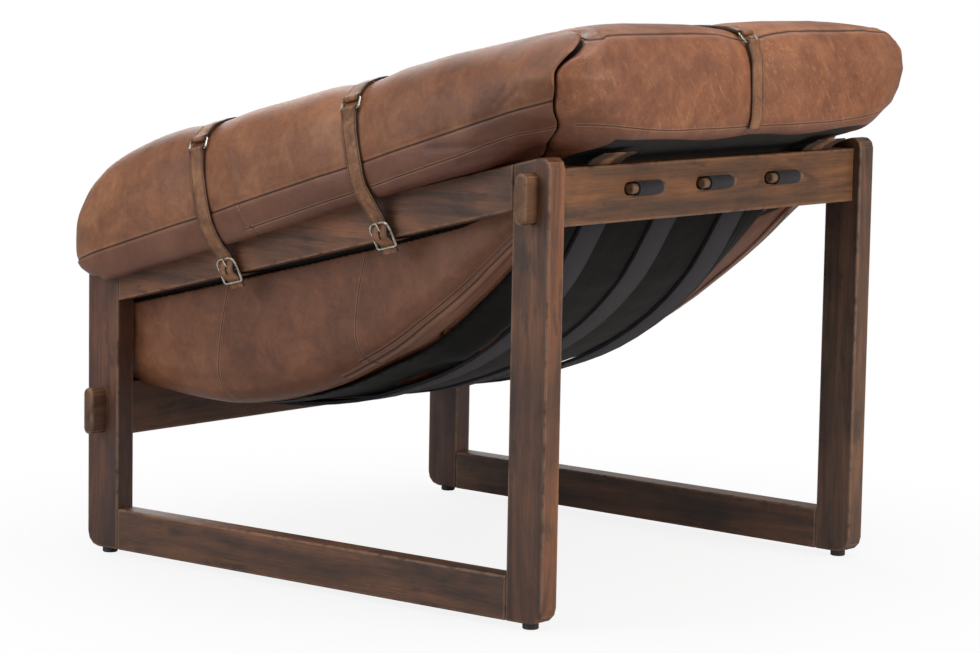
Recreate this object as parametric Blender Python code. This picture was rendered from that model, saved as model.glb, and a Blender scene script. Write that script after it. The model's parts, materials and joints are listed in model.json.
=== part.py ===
"""Sling lounge chair: a wooden frame with two toed side frames, webbing held by wooden toggles,
and a thick leather cushion that rolls over the rails and is cinched by buckled leather straps.

The chair faces -Y. Its left side, as its sitter sees it, is +X. Lengths are in metres.
"""
import math

import bmesh
import bpy
from mathutils import Matrix, Vector

# Wooden frame
FRAME_DEPTH = 0.800
FRAME_WIDTH = 0.739
TOE_ANGLE = math.radians(1.36)
MEMBER_DEPTH = 0.0575
MEMBER_THICKNESS = 0.0316
BOTTOM_RAIL_HEIGHT = 0.0573
TOP_RAIL_DEPTH = 0.056
TOP_RAIL_SLOPE = math.radians(13.87)
REAR_TOP_HEIGHT = 0.597
FOOT_RADIUS = 0.020
CROWN_RADIUS = 0.014
ARRIS = 0.0022
STUB_TENON_LENGTH = 0.018
STUB_TENON_THICKNESS = 0.012
STUB_TENON_HEIGHT = 0.034

# Cross rails with through tenons
CROSS_RAIL_THICKNESS = 0.030
CROSS_RAIL_HEIGHT = 0.0737
CROSS_RAIL_INSET = 0.0115
REAR_RAIL_DROP = 0.0185
FRONT_RAIL_BOTTOM = 0.1646
TENON_THICKNESS = 0.0175
TENON_HEIGHT = 0.065
TENON_REACH = 0.026
TENON_EASE = 0.003

# Glides
GLIDE_RADIUS = 0.0105
GLIDE_HEIGHT = 0.008
GLIDE_EASE = 0.001
NAIL_RADIUS = 0.0015
NAIL_LENGTH = 0.016

# Webbing and its toggle pegs
TOGGLE_SPACING = 0.154
TOGGLE_DROP_SHARE = 0.43
PEG_RADIUS = 0.0067
PEG_LENGTH = 0.073
PEG_EASE = 0.0014
WEBBING_WIDTH = 0.050
WEBBING_PLY = 0.0024
SLOT_CLEARANCE = 0.0012
POCKET_HEIGHT = 0.017
POCKET_LENGTH = 0.084
POCKET_DEPTH = 0.0075

# Cushion
SEAT_HALF_WIDTH = 0.243
ARM_OVERHANG = 0.044
ARM_CREST = 0.155
ARM_DROOP = 0.0125
ARM_DROOP_RISE_SHARE = 0.052
ARM_WALL_CLEARANCE = 0.004
FRONT_OVERHANG = 0.030
FRONT_ROUNDING = 0.090
FRONT_TOP_RADIUS = 0.100
BACK_OVERHANG = 0.056
BACK_EDGE_LIFT = 0.0245
BACK_ROLL_HEIGHT = 0.1505
CORNER_RADIUS = 0.100
SEAT_LIP_HEIGHT = 0.130
SEAT_DIP = 0.043
SEAT_CROWN = 0.012
SEAT_SEAM_Y = 0.125
MITRE_OFFSET = 0.040
MITRE_VALLEY = 0.008
PINCH_DEPTH = 0.0055
PINCH_FLAT = 0.017
PINCH_LENGTH = 0.045
UNDERSIDE_MARGIN = 0.011
UNDERSIDE_SPREAD = 0.047
UNDERSIDE_RADIUS = 0.045
UNDER_CLEARANCE = 0.0012
LINING_THICKNESS = 0.0022
LINING_EDGE_DROP = 0.0055
LINING_EDGE_RUN = 0.020
SLOT_LIFT = 0.003
TAB_WIDTH = 0.068
TAB_INSET = 0.093
TAB_THICKNESS = 0.0022
TAB_SHARES = ((-0.28, 0.0), (0.40, 0.0), (0.72, 0.50), (1.28, 0.92))
SCREW_RADIUS = 0.0016
SCREW_LENGTH = 0.018
SCREW_HEAD_RADIUS = 0.0038
SCREW_HEAD_HEIGHT = 0.0017

# Leather straps, rings and buckles
STRAP_WIDTH = 0.025
STRAP_THICKNESS = 0.0022
FRONT_STRAP_Y = -0.138
REAR_STRAP_Y = 0.128
FOLD_LENGTH = 0.034
RING_HEIGHT = 0.118
BACK_RING_DROP = 0.019
RING_WIRE_RADIUS = 0.0014
RING_INNER_WIDTH = 0.0275
RING_PITCH = 0.0165
RING_CORNER = 0.003
BUCKLE_WIRE_RADIUS = 0.0015
BUCKLE_WIDTH = 0.0345
BUCKLE_LENGTH = 0.0375
BUCKLE_TOP_CORNER = 0.009
BUCKLE_BOTTOM_CORNER = 0.003
BUCKLE_DROP = 0.051
BUCKLE_STANDOFF = 0.0098
BUCKLE_LEAN = math.radians(19)
PRONG_RADIUS = 0.0011
PRONG_SLOT_WIDTH = 0.0034
PRONG_SLOT_LENGTH = 0.0135
TAIL_TUCK = 0.015

# Fits and construction
GAP = 0.0003
CUT_OVERRUN = 0.004
ARC_STEPS = 3
ROUND_SIDES = 16

# Curve of the cushion's side edge: shares of the way from the front rail to the rear rail
EDGE_SHARES = (
    (0.00, 0.000), (0.10, -0.032), (0.24, -0.052), (0.42, -0.002),
    (0.60, 0.150), (0.76, 0.360), (0.88, 0.590), (1.00, 0.930),
)
# Curve of the webbing: shares of the way from the front slot to the rear slot
WEBBING_SHARES = (
    (0.000, 0.000), (0.060, 0.000), (0.221, 0.004), (0.388, 0.053), (0.511, 0.128),
    (0.640, 0.238), (0.765, 0.408), (0.860, 0.610), (0.930, 0.850), (0.975, 0.985), (1.000, 1.000),
)
# Drooping underside of an arm roll outside its rail: shares of the overhang and of the droop
ARM_DROOP_SHARES = ((0.12, 0.45), (0.42, 1.00), (0.77, 0.85))
# Arm roll outline from its outer bulge to the crest: shares of the overhang and of the crest height
ARM_OUTER_SHARES = (
    (0.96, 0.100), (1.00, 0.290), (0.965, 0.484), (0.84, 0.645), (0.61, 0.787), (0.23, 0.903),
)
# Arm roll outline over the crest to the sitter's side: shares of that width and of the crest height
ARM_INNER_SHARES = (
    (0.095, 0.972), (0.30, 1.000), (0.50, 0.985), (0.69, 0.925), (0.85, 0.790), (0.96, 0.560),
    (1.00, 0.250),
)
# Back roll outline behind the rail: shares of the overhang and of the height over its lower edge
BACK_OUTER_SHARES = (
    (0.33, 0.000), (0.82, 0.060), (1.00, 0.200), (1.00, 0.480), (0.95, 0.720), (0.70, 0.900),
    (0.25, 0.985),
)
# Sitter's side of the back: shares of the way from the crest to the seam with the seat
BACK_INNER_SHARES = (
    (0.06, 0.000), (0.24, 0.015), (0.38, 0.100), (0.455, 0.250), (0.50, 0.430), (0.60, 0.640),
    (0.76, 0.830), (0.90, 0.940),
)
# Seat top between the front lip and the back's seam: shares of the length and of the seat's dip
SEAT_TOP_SHARES = (
    (0.00, 0.000), (0.10, -0.030), (0.22, 0.220), (0.38, 0.780), (0.57, 1.060), (0.76, 0.850),
    (0.90, 0.260), (1.00, -0.320),
)

# Derived places in the side frames
TAPER = math.tan(TOE_ANGLE)
HALF_DEPTH = FRAME_DEPTH / 2
POST_INNER_Y = HALF_DEPTH - MEMBER_DEPTH
TOP_RAIL_VERTICAL = TOP_RAIL_DEPTH / math.cos(TOP_RAIL_SLOPE)
RAIL_FACE_Y = HALF_DEPTH - CROSS_RAIL_INSET
RAIL_INNER_Y = RAIL_FACE_Y - CROSS_RAIL_THICKNESS
TENON_Y = RAIL_FACE_Y - CROSS_RAIL_THICKNESS / 2
REAR_RAIL_TOP = REAR_TOP_HEIGHT - REAR_RAIL_DROP
REAR_RAIL_BOTTOM = REAR_RAIL_TOP - CROSS_RAIL_HEIGHT
FRONT_RAIL_TOP = FRONT_RAIL_BOTTOM + CROSS_RAIL_HEIGHT
REAR_SLOT_Z = REAR_RAIL_TOP - TOGGLE_DROP_SHARE * CROSS_RAIL_HEIGHT
FRONT_SLOT_Z = FRONT_RAIL_TOP - TOGGLE_DROP_SHARE * CROSS_RAIL_HEIGHT
SLEEVE_RADIUS = PEG_RADIUS + GAP + WEBBING_PLY
PEG_STANDOFF = math.sqrt((SLEEVE_RADIUS + GAP) ** 2 - (POCKET_HEIGHT / 2) ** 2)
PEG_Y = RAIL_FACE_Y + PEG_STANDOFF
SIDES = (("left", 1), ("right", -1))

# Derived places in the cushion
BACK_EDGE_HEIGHT = REAR_RAIL_TOP + BACK_EDGE_LIFT
BACK_CREST_HEIGHT = BACK_EDGE_HEIGHT + BACK_ROLL_HEIGHT
UNDERSIDE_FLAT = TOGGLE_SPACING + WEBBING_WIDTH / 2 + UNDERSIDE_MARGIN
UNDERSIDE_HALF_WIDTH = SEAT_HALF_WIDTH + UNDERSIDE_SPREAD


def rail_top(y):
    """Height of a side frame's sloping top edge."""
    return REAR_TOP_HEIGHT - math.tan(TOP_RAIL_SLOPE) * (HALF_DEPTH - y)


def frame_face(y):
    """Distance of a side frame's outer face from the chair's centre plane."""
    return FRAME_WIDTH / 2 - TAPER * y


def make_material(name, color, roughness, metallic=0.0):
    material = bpy.data.materials.new(name)
    material.use_nodes = True
    shader = material.node_tree.nodes["Principled BSDF"]
    shader.inputs["Base Color"].default_value = (*color, 1.0)
    shader.inputs["Roughness"].default_value = roughness
    shader.inputs["Metallic"].default_value = metallic
    material.diffuse_color = (*color, 1.0)
    return material


def make_materials():
    return {
        "wood": make_material("walnut_stain", (0.075, 0.043, 0.028), 0.42),
        "peg": make_material("pale_peg_wood", (0.36, 0.21, 0.12), 0.60),
        "leather": make_material("brown_leather", (0.26, 0.115, 0.058), 0.45),
        "strap": make_material("strap_leather", (0.23, 0.105, 0.052), 0.48),
        "webbing": make_material("dark_webbing", (0.028, 0.025, 0.036), 0.80),
        "lining": make_material("black_lining", (0.010, 0.010, 0.010), 0.90),
        "metal": make_material("antique_nickel", (0.50, 0.47, 0.40), 0.32, 1.0),
        "glide": make_material("black_glide", (0.020, 0.020, 0.020), 0.50),
    }


def add_empty(name, parent=None, location=(0, 0, 0), turn=0.0):
    empty = bpy.data.objects.new(name, None)
    bpy.context.collection.objects.link(empty)
    empty.parent = parent
    empty.location = location
    empty.rotation_euler = (0, 0, turn)
    return empty


def add_object(name, bm, material, parent, location=(0, 0, 0)):
    """Turn a bmesh into a named object with its faces pointing out."""
    bmesh.ops.remove_doubles(bm, verts=bm.verts, dist=GAP / 100)
    bmesh.ops.recalc_face_normals(bm, faces=bm.faces)
    mesh = bpy.data.meshes.new(name)
    bm.to_mesh(mesh)
    bm.free()
    mesh.shade_smooth()
    mesh.set_sharp_from_angle(angle=math.radians(40))
    item = bpy.data.objects.new(name, mesh)
    bpy.context.collection.objects.link(item)
    item.parent = parent
    item.location = location
    if material:
        mesh.materials.append(material)
    else:
        item.hide_render = True
        item.display_type = "WIRE"
    return item


def add_bevel(item, width, segments=2):
    bevel = item.modifiers.new("eased arrises", "BEVEL")
    bevel.width = width
    bevel.segments = segments
    bevel.limit_method = "ANGLE"
    bevel.angle_limit = math.radians(35)


def add_boolean(item, operation, tool):
    cut = item.modifiers.new(operation.lower() + " " + tool.name, "BOOLEAN")
    cut.operation = operation
    cut.solver = "EXACT"
    cut.object = tool


def rounded_outline(corners):
    """Outline through (a, b, radius) corners, with an arc at each corner that has a radius."""
    points = []
    count = len(corners)
    for index, (a, b, radius) in enumerate(corners):
        corner = Vector((a, b))
        before = (Vector(corners[index - 1][:2]) - corner).normalized()
        after = (Vector(corners[(index + 1) % count][:2]) - corner).normalized()
        if radius <= 0:
            points.append(corner)
            continue
        half = before.angle(after) / 2
        centre = corner + (before + after).normalized() * radius / math.sin(half)
        start = corner + before * radius / math.tan(half) - centre
        sweep = start.angle_signed(corner + after * radius / math.tan(half) - centre)
        for step in range(ARC_STEPS + 1):
            turn = Matrix.Rotation(-sweep * step / ARC_STEPS, 2)
            points.append(centre + turn @ start)
    return points


def stadium(length, height, steps=ARC_STEPS * 2):
    """Outline of a bar with round ends, its length along the first axis."""
    radius = height / 2
    points = []
    for end in (0, 1):
        for step in range(steps + 1):
            angle = math.pi * (step / steps - 1 / 2 + end)
            centre = (length / 2 - radius) * (1 - 2 * end)
            points.append(Vector((centre + radius * math.cos(angle), radius * math.sin(angle))))
    return points


def smooth_curve(points, steps):
    """Points on a smooth curve through the given 2-D points."""
    points = [Vector(p) for p in points]
    ends = [points[0] * 2 - points[1], *points, points[-1] * 2 - points[-2]]
    curve = []
    for index in range(1, len(ends) - 2):
        p0, p1, p2, p3 = ends[index - 1:index + 3]
        for step in range(steps):
            t = step / steps
            curve.append(0.5 * (2 * p1 + (p2 - p0) * t + (2 * p0 - 5 * p1 + 4 * p2 - p3) * t * t
                                + (3 * p1 - p0 - 3 * p2 + p3) * t ** 3))
    curve.append(points[-1])
    return curve


def height_on(curve, y):
    """Height of a curve of (y, z) points at a depth y."""
    for low, high in zip(curve, curve[1:]):
        if low.x <= y <= high.x:
            return low.y + (high.y - low.y) * (y - low.x) / (high.x - low.x)
    return curve[0].y if y < curve[0].x else curve[-1].y


def ease(value):
    """Smooth step from 0 to 1."""
    value = max(0.0, min(1.0, value))
    return value * value * (3 - 2 * value)


def prism(outline, place, low, high):
    """Closed solid between two copies of an outline. place(a, b, c) gives a point in space."""
    return loft([[place(p[0], p[1], end) for p in outline] for end in (low, high)])


def loft(sections, fold=None):
    """Closed solid through sections that have the same number of points.

    fold is the two points of a section between which both end faces are folded.
    """
    bm = bmesh.new()
    rings = [[bm.verts.new(point) for point in section] for section in sections]
    count = len(rings[0])
    for ring, following in zip(rings, rings[1:]):
        for index in range(count):
            after = (index + 1) % count
            bm.faces.new((ring[index], ring[after], following[after], following[index]))
    for ring in (rings[0], rings[-1]):
        if fold:
            low, high = sorted(fold)
            bm.faces.new(ring[low:high + 1])
            bm.faces.new(ring[high:] + ring[:low + 1])
        else:
            bm.faces.new(ring)
    return bm


def soft_form(sections, fold=None):
    """Loft with every curved patch split into triangles, so that neighbouring forms fit."""
    bm = loft(sections, fold)
    bm.normal_update()
    bmesh.ops.triangulate(bm, faces=bm.faces[:])
    return bm


def across(a, b, c):
    """Outline in (y, z), extruded along x."""
    return (c, a, b)


def plan(a, b, c):
    """Outline in (x, y), extruded along z."""
    return (a, b, c)


def swept_wire(points, normal, radius, sides=6):
    """Closed loop of round wire along points that lie in the plane with the given normal."""
    bm = bmesh.new()
    rings = []
    count = len(points)
    for index, point in enumerate(points):
        tangent = (points[(index + 1) % count] - points[index - 1]).normalized()
        outward = tangent.cross(normal)
        ring = []
        for side in range(sides):
            angle = 2 * math.pi * side / sides
            ring.append(bm.verts.new(point + radius * (math.cos(angle) * outward
                                                       + math.sin(angle) * normal)))
        rings.append(ring)
    for index, ring in enumerate(rings):
        following = rings[(index + 1) % count]
        for side in range(sides):
            after = (side + 1) % sides
            bm.faces.new((ring[side], ring[after], following[after], following[side]))
    return bm


def band_solid(path, halves, width, place, start_loop=None, end_loop=None, steps=12):
    """Flat band along a path of 2-D points, extruded over its width.

    halves is half the band's thickness, or one such number for each point. A loop is (centre,
    inner radius, wall): there the band is wrapped once round a bar or a peg.
    """
    bm = bmesh.new()
    if not isinstance(halves, (list, tuple)):
        halves = [halves] * len(path)

    def vertex(point):
        return bm.verts.new(place(point.x, point.y, -width / 2))

    def side_of(index):
        before = path[max(index - 1, 0)]
        after = path[min(index + 1, len(path) - 1)]
        tangent = (after - before).normalized()
        return Vector((-tangent.y, tangent.x)) * halves[index]

    lefts = [vertex(point + side_of(index)) for index, point in enumerate(path)]
    rights = [vertex(point - side_of(index)) for index, point in enumerate(path)]

    def add_loop(loop, first, last, towards, half):
        centre, inner, wall = loop
        outer = inner + wall
        mouth = math.asin(min(half / outer, 1.0))
        base = math.atan2(towards.y, towards.x)
        outers = [first]
        inners = []
        for step in range(steps + 1):
            angle = base + mouth + (2 * math.pi - 2 * mouth) * step / steps
            direction = Vector((math.cos(angle), math.sin(angle)))
            inners.append(vertex(centre + direction * inner))
            if 0 < step < steps:
                outers.append(vertex(centre + direction * outer))
        outers.append(last)
        for step in range(steps):
            bm.faces.new((outers[step], outers[step + 1], inners[step + 1], inners[step]))
        bm.faces.new((outers[-1], outers[0], inners[0], inners[-1]))

    for index in range(len(path) - 1):
        bm.faces.new((lefts[index], lefts[index + 1], rights[index + 1], rights[index]))
    if start_loop:
        add_loop(start_loop, lefts[0], rights[0], path[0] - start_loop[0], halves[0])
    if end_loop:
        add_loop(end_loop, rights[-1], lefts[-1], path[-1] - end_loop[0], halves[-1])
    extruded = bmesh.ops.extrude_face_region(bm, geom=bm.faces[:])
    shift = Vector(place(0, 0, width)) - Vector(place(0, 0, 0))
    moved = [item for item in extruded["geom"] if isinstance(item, bmesh.types.BMVert)]
    bmesh.ops.translate(bm, verts=moved, vec=shift)
    return bm


# Wooden side frames

def top_rail_bar(reach, half_height):
    """Outline in (y, z) of a bar along the middle of the sloping top rail."""
    middle = rail_top(0) - TOP_RAIL_VERTICAL / 2
    run = Vector((math.cos(TOP_RAIL_SLOPE), math.sin(TOP_RAIL_SLOPE)))
    rise = Vector((-run.y, run.x))
    centre = Vector((0, middle))
    length = reach / run.x
    return [centre - run * length - rise * half_height, centre + run * length - rise * half_height,
            centre + run * length + rise * half_height, centre - run * length + rise * half_height]


def box_outline(low, high):
    return [(low[0], low[1]), (high[0], low[1]), (high[0], high[1]), (low[0], high[1])]


def build_side_frame(side_name, side, chair, materials):
    """Two posts, a bottom rail and a sloping top rail, in the side frame's own toed axes."""
    frame = add_empty(side_name + "_side_frame", chair, (side * FRAME_WIDTH / 2, 0, 0),
                      side * TOE_ANGLE)
    inner = -side * MEMBER_THICKNESS
    low = GLIDE_HEIGHT
    front_post = rounded_outline([
        (-HALF_DEPTH, low, FOOT_RADIUS), (-POST_INNER_Y, low, 0),
        (-POST_INNER_Y, rail_top(-POST_INNER_Y), 0), (-HALF_DEPTH, rail_top(-HALF_DEPTH), CROWN_RADIUS)])
    rear_post = rounded_outline([
        (POST_INNER_Y, low, 0), (HALF_DEPTH, low, FOOT_RADIUS),
        (HALF_DEPTH, rail_top(HALF_DEPTH), CROWN_RADIUS), (POST_INNER_Y, rail_top(POST_INNER_Y), 0)])
    posts = []
    for place_name, outline in (("front", front_post), ("rear", rear_post)):
        post = add_object(f"{place_name}_post_{side_name}", prism(outline, across, inner, 0),
                          materials["wood"], frame)
        add_bevel(post, ARRIS)
        posts.append(post)

    shoulder = POST_INNER_Y - GAP
    bottom_outline = box_outline((-shoulder, low), (shoulder, low + BOTTOM_RAIL_HEIGHT))
    top_outline = [(-shoulder, rail_top(-shoulder) - TOP_RAIL_VERTICAL),
                   (shoulder, rail_top(shoulder) - TOP_RAIL_VERTICAL),
                   (shoulder, rail_top(shoulder)), (-shoulder, rail_top(-shoulder))]
    bar_reach = POST_INNER_Y + STUB_TENON_LENGTH
    bar_half = STUB_TENON_HEIGHT / 2
    middle = low + BOTTOM_RAIL_HEIGHT / 2

    def bottom_bar(extra):
        return box_outline((-bar_reach - extra, middle - bar_half - extra),
                           (bar_reach + extra, middle + bar_half + extra))

    def top_bar(extra):
        return top_rail_bar(bar_reach + extra, bar_half + extra)

    centre_x = inner / 2
    half_x = STUB_TENON_THICKNESS / 2
    for rail_name, outline, bar in (("bottom_rail", bottom_outline, bottom_bar),
                                    ("top_rail", top_outline, top_bar)):
        rail = add_object(f"{rail_name}_{side_name}", prism(outline, across, inner, 0),
                          materials["wood"], frame)
        add_bevel(rail, ARRIS)
        tenon = add_object(f"tool_tenon_{rail_name}_{side_name}",
                           prism(bar(0), across, centre_x - half_x, centre_x + half_x), None, frame)
        add_boolean(rail, "UNION", tenon)
        mortise = add_object(f"tool_mortise_{rail_name}_{side_name}",
                             prism(bar(GAP), across, centre_x - half_x - GAP, centre_x + half_x + GAP),
                             None, frame)
        for post in posts:
            add_boolean(post, "DIFFERENCE", mortise)

    for place_name, post, y in (("front", posts[0], -1), ("rear", posts[1], 1)):
        spot = (centre_x, y * (HALF_DEPTH - MEMBER_DEPTH / 2), 0)
        build_glide(f"glide_{place_name}_{side_name}", spot, frame, post, materials)
    return frame, *posts


def disc(radius, steps=ROUND_SIDES):
    turns = [2 * math.pi * k / steps for k in range(steps)]
    return [(radius * math.cos(turn), radius * math.sin(turn)) for turn in turns]


def build_glide(name, spot, frame, post, materials):
    """Black glide with its nail, driven into the foot of a post."""
    top = GLIDE_HEIGHT - GAP
    rings = ((GLIDE_RADIUS - GLIDE_EASE, 0), (GLIDE_RADIUS, GLIDE_EASE),
             (GLIDE_RADIUS, top), (NAIL_RADIUS, top), (NAIL_RADIUS, top + NAIL_LENGTH))
    sections = [[(a, b, height) for a, b in disc(radius)] for radius, height in rings]
    add_object(name, loft(sections), materials["glide"], frame, spot)
    hole = add_object("tool_hole_" + name,
                      prism(disc(NAIL_RADIUS + GAP), plan, 0, top + NAIL_LENGTH + GAP),
                      None, frame, spot)
    add_boolean(post, "DIFFERENCE", hole)


# Cross rails, webbing and toggles

def rail_outline(depth_sign):
    """Plan of a cross rail, its shoulders cut to the toe of the side frames."""
    inner_thickness = MEMBER_THICKNESS / math.cos(TOE_ANGLE) + GAP
    points = []
    for y, order in ((depth_sign * RAIL_INNER_Y, (-1, 1)), (depth_sign * RAIL_FACE_Y, (1, -1))):
        reach = frame_face(y) - inner_thickness
        points += [(sign * reach, y) for sign in order]
    return points


def tenon_bar(depth_sign, middle_z, extra, reach):
    outline = [Vector((depth_sign * TENON_Y + p.y, middle_z + p.x))
               for p in stadium(TENON_HEIGHT + 2 * extra, TENON_THICKNESS + 2 * extra)]
    return prism(outline, across, -reach, reach)


def slot_tool(depth_sign, slot_z, centre_x):
    """Stepped cutter: a long pocket for the toggle, and a narrow slot for the webbing behind it."""
    slot = stadium(WEBBING_WIDTH + 2 * SLOT_CLEARANCE, 2 * (WEBBING_PLY + SLOT_CLEARANCE))
    pocket = stadium(POCKET_LENGTH, POCKET_HEIGHT)
    floor = RAIL_FACE_Y - POCKET_DEPTH
    sections = []
    for outline, y in ((slot, RAIL_INNER_Y - CUT_OVERRUN), (slot, floor), (pocket, floor),
                       (pocket, RAIL_FACE_Y + CUT_OVERRUN)):
        sections.append([(centre_x + p.x, depth_sign * y, slot_z + p.y) for p in outline])
    return loft(sections)


def build_cross_rail(name, depth_sign, bottom, slot_z, chair, posts, materials):
    rail = add_object(name, prism(rail_outline(depth_sign), plan, bottom, bottom + CROSS_RAIL_HEIGHT),
                      materials["wood"], chair)
    add_bevel(rail, ARRIS)
    middle = bottom + CROSS_RAIL_HEIGHT / 2
    end = frame_face(depth_sign * TENON_Y) + TENON_REACH
    tenons = add_object("tool_tenons_" + name, tenon_bar(depth_sign, middle, 0, end), None, chair)
    add_bevel(tenons, TENON_EASE)
    add_boolean(rail, "UNION", tenons)
    mortises = add_object("tool_mortises_" + name,
                          tenon_bar(depth_sign, middle, GAP, end + CUT_OVERRUN), None, chair)
    for post in posts:
        add_boolean(post, "DIFFERENCE", mortises)
    for index, centre_x in enumerate(toggle_places()):
        tool = add_object(f"tool_slot_{name}_{index + 1}", slot_tool(depth_sign, slot_z, centre_x),
                          None, chair)
        add_boolean(rail, "DIFFERENCE", tool)
    return rail


def toggle_places():
    return (TOGGLE_SPACING, 0, -TOGGLE_SPACING)


def webbing_curve():
    """Centre line of the webbing from the front slot to the rear slot, as (y, z) points."""
    run = 2 * RAIL_INNER_Y
    rise = REAR_SLOT_Z - FRONT_SLOT_Z
    points = [(-RAIL_INNER_Y + run * a, FRONT_SLOT_Z + rise * b) for a, b in WEBBING_SHARES]
    return smooth_curve(points, 3)


def build_webbing(chair, materials):
    """Three straps of doubled webbing, each sewn round a toggle peg at both ends."""
    path = [Vector((-PEG_Y + SLEEVE_RADIUS, FRONT_SLOT_Z)), *webbing_curve(),
            Vector((PEG_Y - SLEEVE_RADIUS, REAR_SLOT_Z))]
    front_loop = (Vector((-PEG_Y, FRONT_SLOT_Z)), PEG_RADIUS + GAP, WEBBING_PLY)
    rear_loop = (Vector((PEG_Y, REAR_SLOT_Z)), PEG_RADIUS + GAP, WEBBING_PLY)
    for index, centre_x in enumerate(toggle_places()):
        number = index + 1
        band = band_solid(path, WEBBING_PLY, WEBBING_WIDTH, across, front_loop, rear_loop)
        add_object(f"webbing_strap_{number}", band, materials["webbing"], chair, (centre_x, 0, 0))
        for place_name, y, z in (("front", -PEG_Y, FRONT_SLOT_Z), ("rear", PEG_Y, REAR_SLOT_Z)):
            rings = ((PEG_RADIUS - PEG_EASE, -PEG_LENGTH / 2), (PEG_RADIUS, -PEG_LENGTH / 2 + PEG_EASE),
                     (PEG_RADIUS, PEG_LENGTH / 2 - PEG_EASE), (PEG_RADIUS - PEG_EASE, PEG_LENGTH / 2))
            sections = [[(x, a, b) for a, b in disc(radius)] for radius, x in rings]
            add_object(f"toggle_peg_{place_name}_{number}", loft(sections), materials["peg"], chair,
                       (centre_x, y, z))


# Cushion shapes

def edge_curve():
    """Side edge of the cushion's underside, from the front rail's top to the rear rail."""
    start = Vector((-RAIL_INNER_Y, FRONT_RAIL_TOP))
    finish = Vector((RAIL_INNER_Y, REAR_RAIL_BOTTOM))
    points = [(start.x + (finish.x - start.x) * a, start.y + (finish.y - start.y) * b)
              for a, b in EDGE_SHARES]
    return smooth_curve(points, 4)


EDGE_LINE = edge_curve()
WEBBING_LINE = webbing_curve()
UNDER_BUILD = WEBBING_PLY + LINING_THICKNESS + UNDER_CLEARANCE
SEAT_LINE = smooth_curve(SEAT_TOP_SHARES, 4)


def underside(x, y):
    """Height of the cushion's underside: on the webbing in the middle, rounded up at its sides."""
    edge = height_on(EDGE_LINE, y) + GAP
    step = CUT_OVERRUN
    steepness = (height_on(WEBBING_LINE, y + step) - height_on(WEBBING_LINE, y - step)) / (2 * step)
    middle = height_on(WEBBING_LINE, y) + UNDER_BUILD * math.sqrt(1 + steepness ** 2)
    middle = edge + (middle - edge) * ease((y + RAIL_INNER_Y) / (RAIL_INNER_Y / 3))
    outward = ease((abs(x) - UNDERSIDE_FLAT) / (UNDERSIDE_HALF_WIDTH - UNDERSIDE_FLAT))
    height = middle + (edge - middle) * outward
    beyond = min(max(abs(x) - UNDERSIDE_HALF_WIDTH, 0) / UNDERSIDE_RADIUS, 1.0)
    height += UNDERSIDE_RADIUS * (1 - math.sqrt(1 - beyond ** 2))
    height += SLOT_LIFT * ease((y - RAIL_INNER_Y) / CROSS_RAIL_HEIGHT + 1)
    if y < -RAIL_INNER_Y + 3 * ARRIS:
        height = max(height, FRONT_RAIL_TOP + 3 * GAP)
    return height


def dent(distance):
    """Depth of the level dent that a strap draws into a roll, at a distance from the strap."""
    return PINCH_DEPTH * (1 - ease((abs(distance) - PINCH_FLAT) / PINCH_LENGTH))


def corner_inset(depth, reach):
    """How far a roll's outer face draws in towards a rear corner that is rounded in plan."""
    into = min(max(depth - (reach - CORNER_RADIUS), 0), CORNER_RADIUS * 0.95)
    return CORNER_RADIUS - math.sqrt(CORNER_RADIUS ** 2 - into ** 2)


ARM_REACH = frame_face(HALF_DEPTH) + ARM_OVERHANG
BACK_EXTENT = HALF_DEPTH + BACK_OVERHANG
SLOPE_COS = math.cos(TOP_RAIL_SLOPE)
SLOPE_SIN = math.sin(TOP_RAIL_SLOPE)
STRAP_PLACES = (FRONT_STRAP_Y / SLOPE_COS, REAR_STRAP_Y / SLOPE_COS)


def wall_face(y):
    """Distance of an arm's wall, inside the side frame, from the chair's centre plane."""
    return frame_face(y) - MEMBER_THICKNESS / math.cos(TOE_ANGLE) - ARM_WALL_CLEARANCE


def arm_profile(y, drawn):
    """Arm roll outline as (outward from the rail's outer face, square off the rail's top) points."""
    overhang = ARM_OVERHANG - drawn - corner_inset(y, BACK_EXTENT)
    crest = ARM_CREST - drawn
    droop = ARM_DROOP_RISE_SHARE * y - ARM_DROOP
    inner = frame_face(y) - SEAT_HALF_WIDTH - GAP
    points = [((overhang - 1.5 * drawn) * a, droop * b + GAP) for a, b in ARM_DROOP_SHARES]
    points += [(overhang * a, crest * b) for a, b in ARM_OUTER_SHARES]
    points += [(-inner * a, crest * b) for a, b in ARM_INNER_SHARES]
    return smooth_curve(points, 2)


ROLL_COUNT = len(arm_profile(0, 0))
WALL_SHARES = (0.33, 0.66)
UNDER_SHARES = (0.0, 0.22, 0.51, 0.74, 0.90, 1.0)
ARM_COUNT = ROLL_COUNT + len(WALL_SHARES) + len(UNDER_SHARES) + 4


def roll_height(number):
    """Height of a roll point square off the rail's top, or nothing for the wall's points."""
    return arm_profile(0, 0)[number].y if number < ROLL_COUNT else 0.0


ROLL_HEIGHTS = [roll_height(number) for number in range(ARM_COUNT)]


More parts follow.
